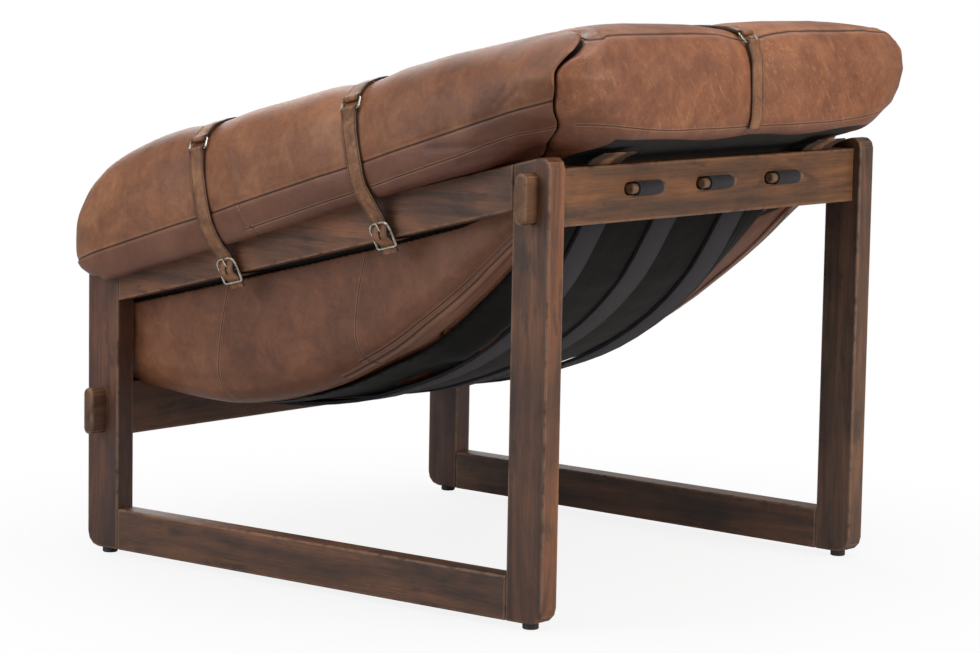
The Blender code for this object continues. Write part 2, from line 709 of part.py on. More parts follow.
def arm_point(number, y):
    """Place (distance from the centre plane, height) of one point of an arm's outline."""
    rest = rail_top(y) + 2 * GAP
    face = frame_face(y)
    inner_x = SEAT_HALF_WIDTH + GAP
    if number < ROLL_COUNT:
        along = (y + ROLL_HEIGHTS[number] * SLOPE_SIN) / SLOPE_COS
        drawn = sum(dent(along - place) for place in STRAP_PLACES)
        u, w = arm_profile(y, drawn)[number]
        x, z = face + u, rail_top(y) + w / SLOPE_COS
    elif number < ROLL_COUNT + len(WALL_SHARES):
        top = rail_top(y) + ARM_CREST * ARM_INNER_SHARES[-1][1] / SLOPE_COS
        low = underside(inner_x, y)
        x, z = inner_x, top + (low - top) * WALL_SHARES[number - ROLL_COUNT]
    else:
        index = number - ROLL_COUNT - len(WALL_SHARES)
        wall_x = wall_face(y)
        if index < len(UNDER_SHARES):
            share = UNDER_SHARES[index]
            x = inner_x + (wall_x - inner_x) * share
            limit = UNDERSIDE_HALF_WIDTH + UNDERSIDE_RADIUS
            z = underside(x + (limit - wall_x) * max(share - 1 / 2, 0) * 2, y)
        else:
            side_low = underside(UNDERSIDE_HALF_WIDTH + UNDERSIDE_RADIUS, y)
            x, z = ((wall_x, (side_low + rest) / 2), (wall_x, rest),
                    (face - MEMBER_THICKNESS / 2, rest), (face + GAP, rest))[index - len(UNDER_SHARES)]
    return round_front(x, y, z, rest, face)


def round_front(x, y, z, rest, face):
    """Draw an arm's outline in towards its middle near the rounded front end."""
    into = min(max(FRONT_ROUNDING - FRONT_OVERHANG - HALF_DEPTH - y, 0) / FRONT_ROUNDING, 0.985)
    if into <= 0:
        return Vector((x, z))
    lost = 1 - math.sqrt(1 - into ** 2)
    middle = SEAT_HALF_WIDTH + (face - SEAT_HALF_WIDTH) * 0.62
    if z > rest:
        z = rest + (z - rest) * (1 - lost * FRONT_TOP_RADIUS / ARM_CREST)
    else:
        z = rest + (z - rest) * (1 - lost * 0.18)
    if x > middle:
        outside = x > face
        x = middle + (x - middle) * (1 - lost * 0.85)
        if outside and z <= rest + GAP and y > -HALF_DEPTH - 4 * ARRIS:
            x = max(x, face + 4 * GAP)
    else:
        x = middle + (x - middle) * (1 - lost * 0.50)
    return Vector((x, z))


def arm_mitre_depth(number):
    """Depth at which a point of an arm's outline meets the mitre with the back."""
    y = HALF_DEPTH
    for _ in range(24):
        y = (y + arm_point(number, y).x + MITRE_OFFSET - GAP) / 2
    inside = ROLL_COUNT <= number < ARM_COUNT - 2
    return min(y, RAIL_INNER_Y - 3 * GAP) if inside else y


ARM_FRONT_SHARES = (1.0, 0.955, 0.86, 0.705, 0.50, 0.175)
PINCH_ROW_SHARES = (-1.0, -0.5, 0.0, 0.0, 0.5, 1.0)
MITRE_ROW_SHARES = ((0.22, 0), (0.44, 0), (0.64, 0.05), (0.82, 0.4), (1.0, 1.0))


def arm_rows():
    """Depths of every row of an arm's outline points, front to rear, with each row's valley."""
    front = -HALF_DEPTH - FRONT_OVERHANG
    rows = [([front + FRONT_ROUNDING * (1 - share)] * ARM_COUNT, 0) for share in ARM_FRONT_SHARES]
    rows.append(([front + FRONT_ROUNDING * 1.1] * ARM_COUNT, 0))

    def square_row(along):
        return [along * SLOPE_COS - height * SLOPE_SIN for height in ROLL_HEIGHTS]

    tilted = []
    for place in STRAP_PLACES:
        for index, share in enumerate(PINCH_ROW_SHARES):
            edge = (PINCH_FLAT - GAP) * (1 if index >= len(PINCH_ROW_SHARES) / 2 else -1)
            tilted.append(square_row(place + edge + share * PINCH_LENGTH))
    first = [(low + high) / 2 for low, high in zip(rows[-1][0], tilted[0])]
    rows.append((first, 0))
    middle = len(PINCH_ROW_SHARES)
    rows += [(row, 0) for row in tilted[:middle]]
    for share in (1 / 3, 2 / 3):
        rows.append(([low + (high - low) * share
                      for low, high in zip(tilted[middle - 1], tilted[middle])], 0))
    rows += [(row, 0) for row in tilted[middle:]]
    ends = [arm_mitre_depth(number) for number in range(ARM_COUNT)]
    for share, valley in MITRE_ROW_SHARES:
        rows.append(([low + (high - low) * share for low, high in zip(tilted[-1], ends)], valley))
    return rows


def build_arm(side_name, side, chair, materials):
    """Arm cushion, lofted from its rounded front end to the mitre with the back."""
    rings = []
    for depths, valley in arm_rows():
        ring = []
        for number, y in enumerate(depths):
            point = arm_point(number, y)
            lowered = MITRE_VALLEY * valley * max(ROLL_HEIGHTS[number] / ARM_CREST, 0) ** 2
            ring.append((side * point.x, y, point.y - lowered))
        rings.append(ring)
    roll = soft_form(rings, (ROLL_COUNT - 1, ARM_COUNT - 3))
    add_object("arm_cushion_" + side_name, roll, materials["leather"], chair)


def seat_top(x, y):
    """Height of the seat's top: a scoop behind the front lip, lower along its sides."""
    share = (y + HALF_DEPTH) / (SEAT_SEAM_Y + HALF_DEPTH)
    fall = SEAT_CROWN * (abs(x) / SEAT_HALF_WIDTH) ** 4
    return FRONT_RAIL_TOP + SEAT_LIP_HEIGHT - SEAT_DIP * height_on(SEAT_LINE, share) - fall


def back_curve():
    """Side view of the back from the seat's seam over the crest to its edge behind the rail."""
    crest_y = HALF_DEPTH - MEMBER_DEPTH / 4
    seam = Vector((SEAT_SEAM_Y, seat_top(0, SEAT_SEAM_Y)))
    inner = [(crest_y + (seam.x - crest_y) * a, BACK_CREST_HEIGHT + (seam.y - BACK_CREST_HEIGHT) * b)
             for a, b in BACK_INNER_SHARES]
    outer = [(HALF_DEPTH + BACK_OVERHANG * a,
              BACK_EDGE_HEIGHT + (BACK_CREST_HEIGHT - BACK_EDGE_HEIGHT) * b)
             for a, b in BACK_OUTER_SHARES]
    return smooth_curve([tuple(seam), *reversed(inner), *reversed(outer)], 2)


BACK_LINE = back_curve()
BACK_REACH = max(point.x for point in BACK_LINE) - HALF_DEPTH
DEPTH_SHIFT = (FRONT_OVERHANG - BACK_REACH) / 2


def under_depths():
    """Depths shared by the undersides of seat, back and lining, from front to rear."""
    front = -RAIL_INNER_Y + 2 * ARRIS + GAP
    corner = SEAT_HALF_WIDTH + MITRE_OFFSET
    rear = RAIL_INNER_Y - 3 * GAP
    seat = [front + (SEAT_SEAM_Y - front) * step / 9 for step in range(10)]
    low = [SEAT_SEAM_Y + (corner - SEAT_SEAM_Y) * step / 5 for step in range(1, 5)] + [corner]
    high = [corner + (rear - corner) * step / 4 for step in range(1, 5)]
    return seat, [*low, *high]


BACK_COLUMN_SHARES = (0.055, 0.20, 0.42, 0.60, 0.68, 0.76, 0.84, 0.92, 0.97, 1.0)
BACK_VALLEY_SHARES = (0, 0, 0, 0, 0, 0, 0, 0.1, 0.5, 1.0)


def both_ways(values):
    """Values with their mirror images, from the lowest to the highest."""
    return sorted({value * sign for value in values for sign in (-1, 1)})


def seat_stations():
    """Distances from the centre plane of the seat's columns of points."""
    flat = UNDERSIDE_FLAT - LINING_EDGE_RUN / 2
    risen = UNDERSIDE_FLAT + LINING_EDGE_RUN / 2
    return [0, flat / 2, flat, risen, (risen + SEAT_HALF_WIDTH) / 2, SEAT_HALF_WIDTH]


def build_seat(chair, materials):
    """Seat cushion between the arms, with a full lip over the front rail."""
    bottoms, _ = under_depths()
    rear = SEAT_SEAM_Y - GAP / 2
    sections = []
    for x in both_ways(seat_stations()):
        drawn_in = 0.4 * abs(x / SEAT_HALF_WIDTH) ** 6
        outline = [(x, y, underside(x, y)) for y in [rear, *reversed(bottoms[:-1])]]
        low = underside(x, -HALF_DEPTH)
        high = seat_top(x, -HALF_DEPTH)
        outline.append((x, -RAIL_FACE_Y, low))
        for step in range(8):
            angle = math.pi * step / 8
            reach = FRONT_OVERHANG * (1 - drawn_in) * math.sin(angle) ** 0.6
            outline.append((x, -HALF_DEPTH - reach,
                            (low + high) / 2 - (high - low) / 2 * math.cos(angle)))
        for step in range(15):
            y = -HALF_DEPTH + (rear + HALF_DEPTH) * step / 14
            outline.append((x, y, seat_top(x, y)))
        sections.append(outline)
    add_object("seat_cushion", soft_form(sections), materials["leather"], chair)


def roll_rest(x, y):
    """Height on which the back's roll rests: the rear rail, and the post tops beside it."""
    on_rail = REAR_RAIL_TOP + 5 * GAP
    on_post = max(rail_top(y), rail_top(HALF_DEPTH)) + 4 * GAP
    shoulder = frame_face(y) - MEMBER_THICKNESS
    return on_rail + (on_post - on_rail) * ease((abs(x) - shoulder * 0.90) / (shoulder * 0.07))


def back_reach(y):
    """Half width of the back at a depth: between the arms, then out to the mitres."""
    return max(SEAT_HALF_WIDTH, y - MITRE_OFFSET) - GAP


def build_back(chair, materials):
    """Back cushion: scoop between the arms, wall before the rear rail and roll over it."""
    corner = SEAT_HALF_WIDTH + MITRE_OFFSET
    start = SEAT_SEAM_Y + GAP / 2
    upper = [Vector((start, seat_top(0, start))), *BACK_LINE[1:]]
    crest = max(range(len(upper)), key=lambda k: upper[k].y)
    cross = next(k for k in range(crest) if upper[k].x < corner <= upper[k + 1].x)
    share = (corner - upper[cross].x) / (upper[cross + 1].x - upper[cross].x)
    upper.insert(cross + 1, upper[cross].lerp(upper[cross + 1], share))
    _, depths = under_depths()
    inner_face = depths[-1]
    edge_y = upper[-1].x
    sections = []
    fold = (cross + 1, len(upper) + 4 + len(depths) - 1 - depths.index(corner))
    for share in both_ways(BACK_COLUMN_SHARES):
        valley = MITRE_VALLEY * BACK_VALLEY_SHARES[BACK_COLUMN_SHARES.index(abs(share))]
        ring = []
        for flat in upper:
            outer = ease((flat.x - corner) / (HALF_DEPTH - corner))
            y = flat.x
            for _ in range(12):
                x = share * back_reach(y)
                drawn = corner_inset(abs(x), ARM_REACH) + dent(x)
                y = (y + flat.x - drawn * outer) / 2
            high = (flat.y - BACK_EDGE_HEIGHT) / (BACK_CREST_HEIGHT - BACK_EDGE_HEIGHT)
            z = flat.y - (valley + dent(x)) * max(high, 0) ** 2
            if flat.x < corner:
                z -= SEAT_CROWN * share ** 4 * (corner - flat.x) / (corner - SEAT_SEAM_Y)
            ring.append((share * back_reach(y), y, z))
        for y in (RAIL_FACE_Y, RAIL_FACE_Y - CROSS_RAIL_THICKNESS / 2, inner_face):
            x = share * back_reach(y)
            lift = (y - inner_face) / (edge_y - inner_face)
            ring.append((x, y, max(roll_rest(x, y),
                                   REAR_RAIL_TOP + (BACK_EDGE_HEIGHT - REAR_RAIL_TOP) * lift)))
        for number, y in enumerate([inner_face, *reversed(depths), start]):
            x = share * min(back_reach(y), wall_face(y) - GAP)
            ring.append((x, y, underside(x, y) if number else roll_rest(x, y)))
        sections.append(ring)
    add_object("back_cushion", soft_form(sections, fold), materials["leather"], chair)


def build_lining(chair, materials):
    """Black cloth under the seat and the lower back, lying on the webbing."""
    front, rear = under_depths()
    path = [*front[1:], *rear]
    stations = seat_stations()[:1] + seat_stations()[2:]
    stations += [SEAT_HALF_WIDTH + (UNDERSIDE_HALF_WIDTH - SEAT_HALF_WIDTH) * share
                 for share in (0.45, 1.0)]
    sections = []
    for x in both_ways(stations):
        drop = GAP + LINING_EDGE_DROP * ease((abs(x) - UNDERSIDE_FLAT) / LINING_EDGE_RUN + 1 / 2)
        tops = [Vector((x, y, underside(x, y) - drop)) for y in path]
        lows = []
        for index, point in enumerate(tops):
            run = tops[min(index + 1, len(tops) - 1)] - tops[max(index - 1, 0)]
            lows.append(point - Vector((0, 0, LINING_THICKNESS * run.length / run.y)))
        sections.append([tuple(p) for p in tops] + [tuple(p) for p in reversed(lows)])
    add_object("seat_lining", soft_form(sections), materials["lining"], chair)


def build_corner_tab(side_name, side, chair, rail, materials):
    """Leather tab from the back's lower edge to the rear rail's top, held there by a screw."""
    half = TAB_THICKNESS / 2
    middle = RAIL_FACE_Y - CROSS_RAIL_THICKNESS / 2
    rest = REAR_RAIL_TOP + GAP + half
    rise = BACK_EDGE_HEIGHT - 3 * TAB_THICKNESS - rest
    path = [Vector((middle + CROSS_RAIL_THICKNESS * a, rest + rise * b)) for a, b in TAB_SHARES]
    offset = frame_face(TENON_Y) - MEMBER_THICKNESS - TAB_INSET
    spot = (side * offset, 0, 0)
    tab = add_object("corner_tab_" + side_name, band_solid(path, half, TAB_WIDTH, across),
                     materials["strap"], chair, spot)
    screw_spot = (side * offset, middle, rest + half)
    rings = ((SCREW_RADIUS / 2, -SCREW_LENGTH), (SCREW_RADIUS, -SCREW_LENGTH + 2 * SCREW_RADIUS),
             (SCREW_RADIUS, GAP), (SCREW_HEAD_RADIUS, GAP),
             (SCREW_HEAD_RADIUS * 0.8, GAP + SCREW_HEAD_HEIGHT))
    sections = [[(a, b, height) for a, b in disc(radius)] for radius, height in rings]
    add_object("tab_screw_" + side_name, loft(sections), materials["metal"], chair, screw_spot)
    hole = add_object("tool_tab_hole_" + side_name,
                      prism(disc(SCREW_RADIUS + GAP), plan, -SCREW_LENGTH - GAP, CUT_OVERRUN),
                      None, chair, screw_spot)
    add_boolean(tab, "DIFFERENCE", hole)
    add_boolean(rail, "DIFFERENCE", hole)


# Leather straps with their rings and buckles

def offset_path(points, distances):
    """Copy of a path, each point moved to the path's left by its distance."""
    moved = []
    for index, point in enumerate(points):
        before = points[max(index - 1, 0)]
        after = points[min(index + 1, len(points) - 1)]
        tangent = (after - before).normalized()
        moved.append(point + Vector((-tangent.y, tangent.x)) * distances[index])
    return moved


def swept_frame(width, length, low_corner, top_corner, place, radius):
    """Rounded rectangle of round wire: width along the strap's width, length along the strap."""
    outline = rounded_outline([
        (-width / 2, -length / 2, low_corner), (width / 2, -length / 2, low_corner),
        (width / 2, length / 2, top_corner), (-width / 2, length / 2, top_corner)])
    points = [Vector(place(0, p.y, p.x)) for p in outline]
    normal = Vector(place(1, 0, 0)) - Vector(place(0, 0, 0))
    return swept_wire(points, normal.normalized(), radius)


def build_ring_and_straps(name, outline, ring_at, lower_end, place, parent, materials):
    """Ring on an outline, the strap above it and the strap below it.

    outline runs from the lower outer side over the crest to the sitter's side, as 2-D points.
    lower_end is the path of the lower strap after it leaves the outline.
    """
    half = STRAP_THICKNESS / 2
    fold = half * 1.8
    inner = RING_WIRE_RADIUS + GAP
    reach = inner + STRAP_THICKNESS
    before, after = outline[ring_at - 1], outline[ring_at + 1]
    tangent = (after - before).normalized()
    outward = Vector((tangent.y, -tangent.x))
    centre = outline[ring_at] + outward * (reach + 3 * GAP)
    upper_bar = centre + tangent * RING_PITCH / 2
    lower_bar = centre - tangent * RING_PITCH / 2

    def lay(points, bar, away):
        kept = [p for p in points if (p - bar).dot(away) > 2.2 * reach]
        lengths = [(p - bar).length for p in kept]
        thick = [fold if length < FOLD_LENGTH else half for length in lengths]
        return kept, thick

    upper_points, upper_halves = lay(outline[ring_at + 1:], upper_bar, tangent)
    upper_path = offset_path(upper_points, [-(value + 3 * GAP) for value in upper_halves])
    start = upper_bar + (upper_path[0] - upper_bar).normalized() * reach
    band = band_solid([start, *upper_path], [fold, *upper_halves], STRAP_WIDTH, place,
                      (upper_bar, inner, STRAP_THICKNESS))
    add_object("upper_strap_" + name, band, materials["strap"], parent)

    lower_points, lower_halves = lay(outline[ring_at - 1::-1], lower_bar, -tangent)
    lower_path = offset_path(lower_points, [value + 3 * GAP for value in lower_halves])
    start = lower_bar + (lower_path[0] - lower_bar).normalized() * reach
    path = [start, *lower_path, *lower_end]
    band = band_solid(path, [fold, *lower_halves, *[half] * len(lower_end)], STRAP_WIDTH, place,
                      (lower_bar, inner, STRAP_THICKNESS))
    lower = add_object("lower_strap_" + name, band, materials["strap"], parent)

    def ring_place(a, b, c):
        spot = centre + tangent * b + outward * a
        return place(spot.x, spot.y, c)

    wire = swept_frame(RING_INNER_WIDTH + 2 * RING_WIRE_RADIUS, RING_PITCH, RING_CORNER, RING_CORNER,
                       ring_place, RING_WIRE_RADIUS)
    add_object("strap_ring_" + name, wire, materials["metal"], parent)
    return lower


def arm_strap_outline(along):
    """Arm surface in a strap's plane: (outward from the rail's face, square off the rail's top)."""
    points = []
    for number in range(ROLL_COUNT):
        y = along * SLOPE_COS - ROLL_HEIGHTS[number] * SLOPE_SIN
        x, z = arm_point(number, y)
        points.append(Vector((x - frame_face(y), (z - rail_top(y)) * SLOPE_COS)))
    return points


def sitter_end(along):
    """Lower end of an arm's upper strap in the strap's plane, just above the seat and back."""
    width = STRAP_WIDTH / 2 + GAP
    best = -ARM_CREST
    for step in range(60):
        w = ARM_CREST * (step / 30 - 1.6)
        y = along * SLOPE_COS - w * SLOPE_SIN
        z = rail_top(y) + w / SLOPE_COS
        for shift in (-width, width):
            depth = y + shift
            top = seat_top(0, depth) if depth < SEAT_SEAM_Y else height_on(BACK_LINE, depth)
            if z + shift * SLOPE_SIN < top + 2 * STRAP_THICKNESS:
                best = max(best, w)
    y = along * SLOPE_COS - best * SLOPE_SIN
    return Vector((SEAT_HALF_WIDTH + GAP - frame_face(y), best))


def build_arm_strap(side_name, side, row_name, along, frame, materials):
    """One arm strap: upper strap, ring, lower strap, buckle, prong and tail."""
    name = f"{row_name}_{side_name}"
    y = along * SLOPE_COS
    spot = add_empty("strap_place_" + name, frame, (0, y / math.cos(TOE_ANGLE), rail_top(y)))
    spot.rotation_euler = (TOP_RAIL_SLOPE, 0, 0)

    def place(a, b, c):
        return (side * a, c, b)

    half = STRAP_THICKNESS / 2
    roll = arm_strap_outline(along)
    end = sitter_end(along)
    outline = [*roll, roll[-1].lerp(end, 1 / 2), end]
    bar = Vector((BUCKLE_STANDOFF, -BUCKLE_DROP))
    along_buckle = Vector((math.sin(BUCKLE_LEAN), math.cos(BUCKLE_LEAN)))
    outward = Vector((along_buckle.y, -along_buckle.x))
    wire = BUCKLE_WIRE_RADIUS
    behind = wire + half + GAP
    over = wire + GAP + STRAP_THICKNESS + GAP + half
    top_bar = bar + along_buckle * (BUCKLE_LENGTH / 2 - wire)
    low_bar = bar - along_buckle * (BUCKLE_LENGTH / 2 - wire)
    weave = [top_bar + along_buckle * 2 * behind - outward * behind, top_bar - outward * behind,
             top_bar - outward * behind - along_buckle * behind * 1.7]
    low = min(range(ROLL_COUNT // 2),
              key=lambda k: math.atan2(roll[k].y - weave[0].y, roll[k].x - weave[0].x))
    ring_at = min(range(ROLL_COUNT // 2), key=lambda k: abs(roll[k].y - RING_HEIGHT)) - low
    for degrees in (40, 10, -20, -50):
        turn = math.radians(degrees)
        weave.append(bar + (outward * math.cos(turn) + along_buckle * math.sin(turn)) * over)
    weave += [low_bar - outward * behind + along_buckle * behind * 1.2, low_bar - outward * behind,
              low_bar - outward * behind - along_buckle * 3 * behind]
    lower = build_ring_and_straps("arm_" + name, outline[low:], ring_at, weave, place, spot, materials)

    buckle_spot = add_empty("buckle_place_" + name, spot, place(bar.x, bar.y, 0))
    buckle_spot.rotation_euler = (0, side * BUCKLE_LEAN, 0)
    frame_wire = swept_frame(BUCKLE_WIDTH - 2 * wire, BUCKLE_LENGTH - 2 * wire, BUCKLE_BOTTOM_CORNER,
                             BUCKLE_TOP_CORNER, place, wire)
    buckle = add_object("buckle_" + name, frame_wire, materials["metal"], buckle_spot)
    rod = add_object("tool_bar_" + name,
                     prism(disc(wire * 0.96, 12), lambda a, b, c: place(a, b, c),
                           -BUCKLE_WIDTH / 2 + wire, BUCKLE_WIDTH / 2 - wire), None, buckle_spot)
    add_boolean(buckle, "UNION", rod)

    eye = wire + GAP
    tip = Vector((wire + GAP + PRONG_RADIUS, BUCKLE_LENGTH / 2))
    start = tip.normalized() * (eye + 2 * PRONG_RADIUS)
    prong = band_solid([start, start.lerp(tip, 1 / 2), tip], PRONG_RADIUS, 2 * PRONG_RADIUS, place,
                       (Vector((0, 0)), eye, 2 * PRONG_RADIUS), None, 10)
    hinge = add_empty("prong_axis_" + name, buckle_spot)
    add_object("prong_" + name, prong, materials["metal"], hinge)

    slot_half = PRONG_SLOT_WIDTH / 2
    slot = add_object("tool_prong_slot_" + name,
                      prism(box_outline((-over, -2 * wire),
                                        (over + STRAP_THICKNESS * 2, PRONG_SLOT_LENGTH)),
                            place, -slot_half, slot_half), None, buckle_spot)
    add_boolean(lower, "DIFFERENCE", slot)
    loop = eye + STRAP_THICKNESS + GAP
    notch = add_object("tool_tail_notch_" + name,
                       prism(box_outline((-loop * 1.1, -loop * 1.1), (loop * 1.1, loop * 1.1)), place,
                             -slot_half, slot_half), None, buckle_spot)

    under = -TOP_RAIL_DEPTH - half - 2 * GAP
    wall = wall_face(y) - frame_face(y) + ARM_WALL_CLEARANCE / 2
    bend = 2 * STRAP_THICKNESS
    run = Vector((-bend / 2, under)) - bar
    reach = eye + STRAP_THICKNESS
    path = [bar + run.normalized() * reach, Vector((-bend / 2, under)), Vector((wall + bend, under)),
            Vector((wall + bend / 4, under + bend / 4)), Vector((wall, under + bend)),
            Vector((wall, under + TAIL_TUCK))]
    tail = add_object("tail_strap_" + name,
                      band_solid(path, half, STRAP_WIDTH, place, (bar, eye, STRAP_THICKNESS)),
                      materials["strap"], spot)
    add_boolean(tail, "DIFFERENCE", notch)


def build_back_strap(chair, materials):
    """Single strap over the middle of the back roll."""
    def place(a, b, c):
        return (c, a, b)

    outline = []
    for flat in reversed(BACK_LINE):
        corner = SEAT_HALF_WIDTH + MITRE_OFFSET
        outer = ease((flat.x - corner) / (HALF_DEPTH - corner))
        high = (flat.y - BACK_EDGE_HEIGHT) / (BACK_CREST_HEIGHT - BACK_EDGE_HEIGHT)
        outline.append(Vector((flat.x - dent(0) * outer, flat.y - dent(0) * max(high, 0) ** 2)))
    ring_z = BACK_CREST_HEIGHT - BACK_RING_DROP
    behind = [k for k, p in enumerate(outline) if p.x > HALF_DEPTH]
    ring_at = min(behind, key=lambda k: abs(outline[k].y - ring_z)) - 3
    build_ring_and_straps("back", outline[3:-5], ring_at, [], place, chair, materials)


def build():
    for item in list(bpy.data.objects):
        bpy.data.objects.remove(item)
    materials = make_materials()
    chair = add_empty("chair", None, (0, DEPTH_SHIFT, 0))
    front_posts = []
    rear_posts = []
    for side_name, side in SIDES:
        frame, front, rear = build_side_frame(side_name, side, chair, materials)
        front_posts.append(front)
        rear_posts.append(rear)
        for row_name, along in zip(("front", "rear"), STRAP_PLACES):
            build_arm_strap(side_name, side, row_name, along, frame, materials)
    build_cross_rail("front_cross_rail", -1, FRONT_RAIL_BOTTOM, FRONT_SLOT_Z, chair, front_posts,
                     materials)
    rear_rail = build_cross_rail("rear_cross_rail", 1, REAR_RAIL_BOTTOM, REAR_SLOT_Z, chair, rear_posts,
                                 materials)
    build_webbing(chair, materials)
    for side_name, side in SIDES:
        build_arm(side_name, side, chair, materials)
        build_corner_tab(side_name, side, chair, rear_rail, materials)
    build_seat(chair, materials)
    build_back(chair, materials)
    build_lining(chair, materials)
    build_back_strap(chair, materials)


build()
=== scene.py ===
"""Sling lounge chair in its finished materials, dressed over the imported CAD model.

Lengths are in metres. Side frames are toed, arms slope down to the front, and the chair faces -Y.
"""
import json
import math

import bmesh
import bpy
import numpy as np
from mathutils import Matrix, Vector, noise
from mathutils.bvhtree import BVHTree

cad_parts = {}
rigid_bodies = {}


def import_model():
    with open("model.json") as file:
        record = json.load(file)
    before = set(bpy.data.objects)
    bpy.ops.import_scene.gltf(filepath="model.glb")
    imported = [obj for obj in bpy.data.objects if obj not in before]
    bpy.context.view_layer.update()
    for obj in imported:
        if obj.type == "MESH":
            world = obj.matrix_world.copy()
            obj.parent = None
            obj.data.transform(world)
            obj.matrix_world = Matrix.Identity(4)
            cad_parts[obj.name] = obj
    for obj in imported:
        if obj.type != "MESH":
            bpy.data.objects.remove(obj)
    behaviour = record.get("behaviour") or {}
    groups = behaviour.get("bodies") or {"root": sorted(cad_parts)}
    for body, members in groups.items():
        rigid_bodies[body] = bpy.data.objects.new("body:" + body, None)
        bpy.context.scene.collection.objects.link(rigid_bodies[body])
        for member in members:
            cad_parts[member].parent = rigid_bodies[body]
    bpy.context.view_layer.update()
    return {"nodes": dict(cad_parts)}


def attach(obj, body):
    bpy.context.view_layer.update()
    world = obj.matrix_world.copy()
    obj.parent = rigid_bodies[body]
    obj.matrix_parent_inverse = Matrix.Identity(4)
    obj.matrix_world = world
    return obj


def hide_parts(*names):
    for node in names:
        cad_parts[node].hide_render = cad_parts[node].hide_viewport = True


for item in list(bpy.data.objects):
    bpy.data.objects.remove(item)
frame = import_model()
nodes = frame["nodes"]
BODY = "chair"

# Places of the frame, measured from the middle of the frame's depth
SHIFT = 0.0134
SLOPE = math.radians(13.87)
TOE = math.radians(1.36)
POST_TOP = 0.597
HALF_DEPTH = 0.400
HALF_WIDTH = 0.3695
STRAP_PLACES = (-0.138, 0.128)
MITRE_OFFSET = 0.040
RAIL_UNDER = 0.4407
GAP_HEIGHT = 0.4318
GAP_SLOPE = 0.239
LINING_EDGE = 0.2425
HULL_EDGE = 0.243
PIPING_PLACE = 0.283
MITRE_MIDDLE = (0.50, 0.66)
DIAGONAL = math.sqrt(0.5)

# Sizes of the faces of the cushions' covers, the rounds that soften them, and how they are filled
COVER_GRAIN = 0.0052
PAD_GRAIN = 0.006
QUICK_COVER_GRAIN = 0.008
QUICK_PAD_GRAIN = 0.009
SOFTEN_ROUNDS = 8
FILL_FRAMES = 20
ROLL_FILL_CAP = 0.009
PAD_FILL_CAP = 0.012

# Stitches: how far in from the edge, how far apart, how long and how thick
STRAP_STITCH = (0.0027, 0.0046, 0.0034, 0.00034)
WEBBING_STITCH = (0.0042, 0.0062, 0.0044, 0.00038)

# Camera of the photograph
CAMERA_LENS = 119.136
CAMERA_PLACE = (3.4553, 2.8675, 0.8601)
CAMERA_RIGHT = (-0.64071, 0.76758, 0.0178)
CAMERA_UP = (-0.08012, -0.0899, 0.99272)

# Level of the studio's light from all around, and the floor's brightness near the chair
AROUND_LEVEL = 0.42
FLOOR_NEAR = 0.86

# How the stain and the light of the photographed wood differ from plain walnut
WOOD_STAIN = (0.86, 0.69, 0.63)

# Heights of the walls' lower edge along the chair's depth, and how far it is drawn up
WALL_DEPTHS = (-0.44, -0.38, -0.30, -0.20, -0.10, 0.00, 0.10, 0.20, 0.25, 0.30, 0.33, 0.36)
WALL_BOTTOM = (0.260, 0.243, 0.232, 0.225, 0.231, 0.254, 0.291, 0.344, 0.378, 0.424, 0.452, 0.482)
WALL_LIFT = (-0.010, -0.011, -0.009, -0.005, 0.006, 0.015, 0.030, 0.049, 0.056, 0.058, 0.058, 0.044)

# How low each arm's drooping nose reaches past its post, by how far it stands forward and out
NOSE_REACHES = (0.340, 0.370, 0.390, 0.4097, 0.424, 0.460)
NOSE_FLOORS = (-0.060, -0.022, -0.0146, -0.001, 0.013, 0.030)

# How far the rolls' outer corners are drawn in, by height
TUCK_HEIGHTS = (0.590, 0.605, 0.625, 0.645, 0.665, 0.690, 0.720, 0.740, 0.756)
TUCK_DEPTHS = (0.060, 0.054, 0.032, 0.011, 0.001, -0.005, -0.002, 0.006, 0.010)


# How much wider the back roll's end is than the arm's end that it meets, by the turn about their middle
MITRE_TURNS = (-40, -15, 0, 15, 30, 45, 60, 75, 90, 105, 120, 150)
MITRE_GROWTH = (0.0, 0.005, 0.003, 0.0055, 0.0065, 0.0035, 0.0045, 0.004, 0.003, 0.006, 0.006, 0.0)


# Shader arithmetic

class Socket:
    """Output of a shader node. Arithmetic on it adds Math nodes."""

    def __init__(self, finish, output):
        self.finish = finish
        self.output = output

    def math(self, operation, *others, clamp=False):
        return self.finish.node("ShaderNodeMath", (self, *others), operation=operation,
                                use_clamp=clamp)

    def __add__(self, other):
        return self.math("ADD", other)

    def __mul__(self, other):
        return self.math("MULTIPLY", other)

    def __sub__(self, other):
        return self.math("SUBTRACT", other)

    def __rsub__(self, other):
        return self.finish.node("ShaderNodeMath", (other, self), operation="SUBTRACT")

    __radd__ = __add__
    __rmul__ = __mul__

    def clamped(self):
        return self.math("ADD", 0.0, clamp=True)

    def size(self):
        return self.math("ABSOLUTE")

    def step(self, low, high):
        """0 below low, 1 above high, and smooth between them."""
        return self.finish.node("ShaderNodeMapRange", {"Value": self, "From Min": low, "From Max": high},
                                interpolation_type="SMOOTHSTEP")


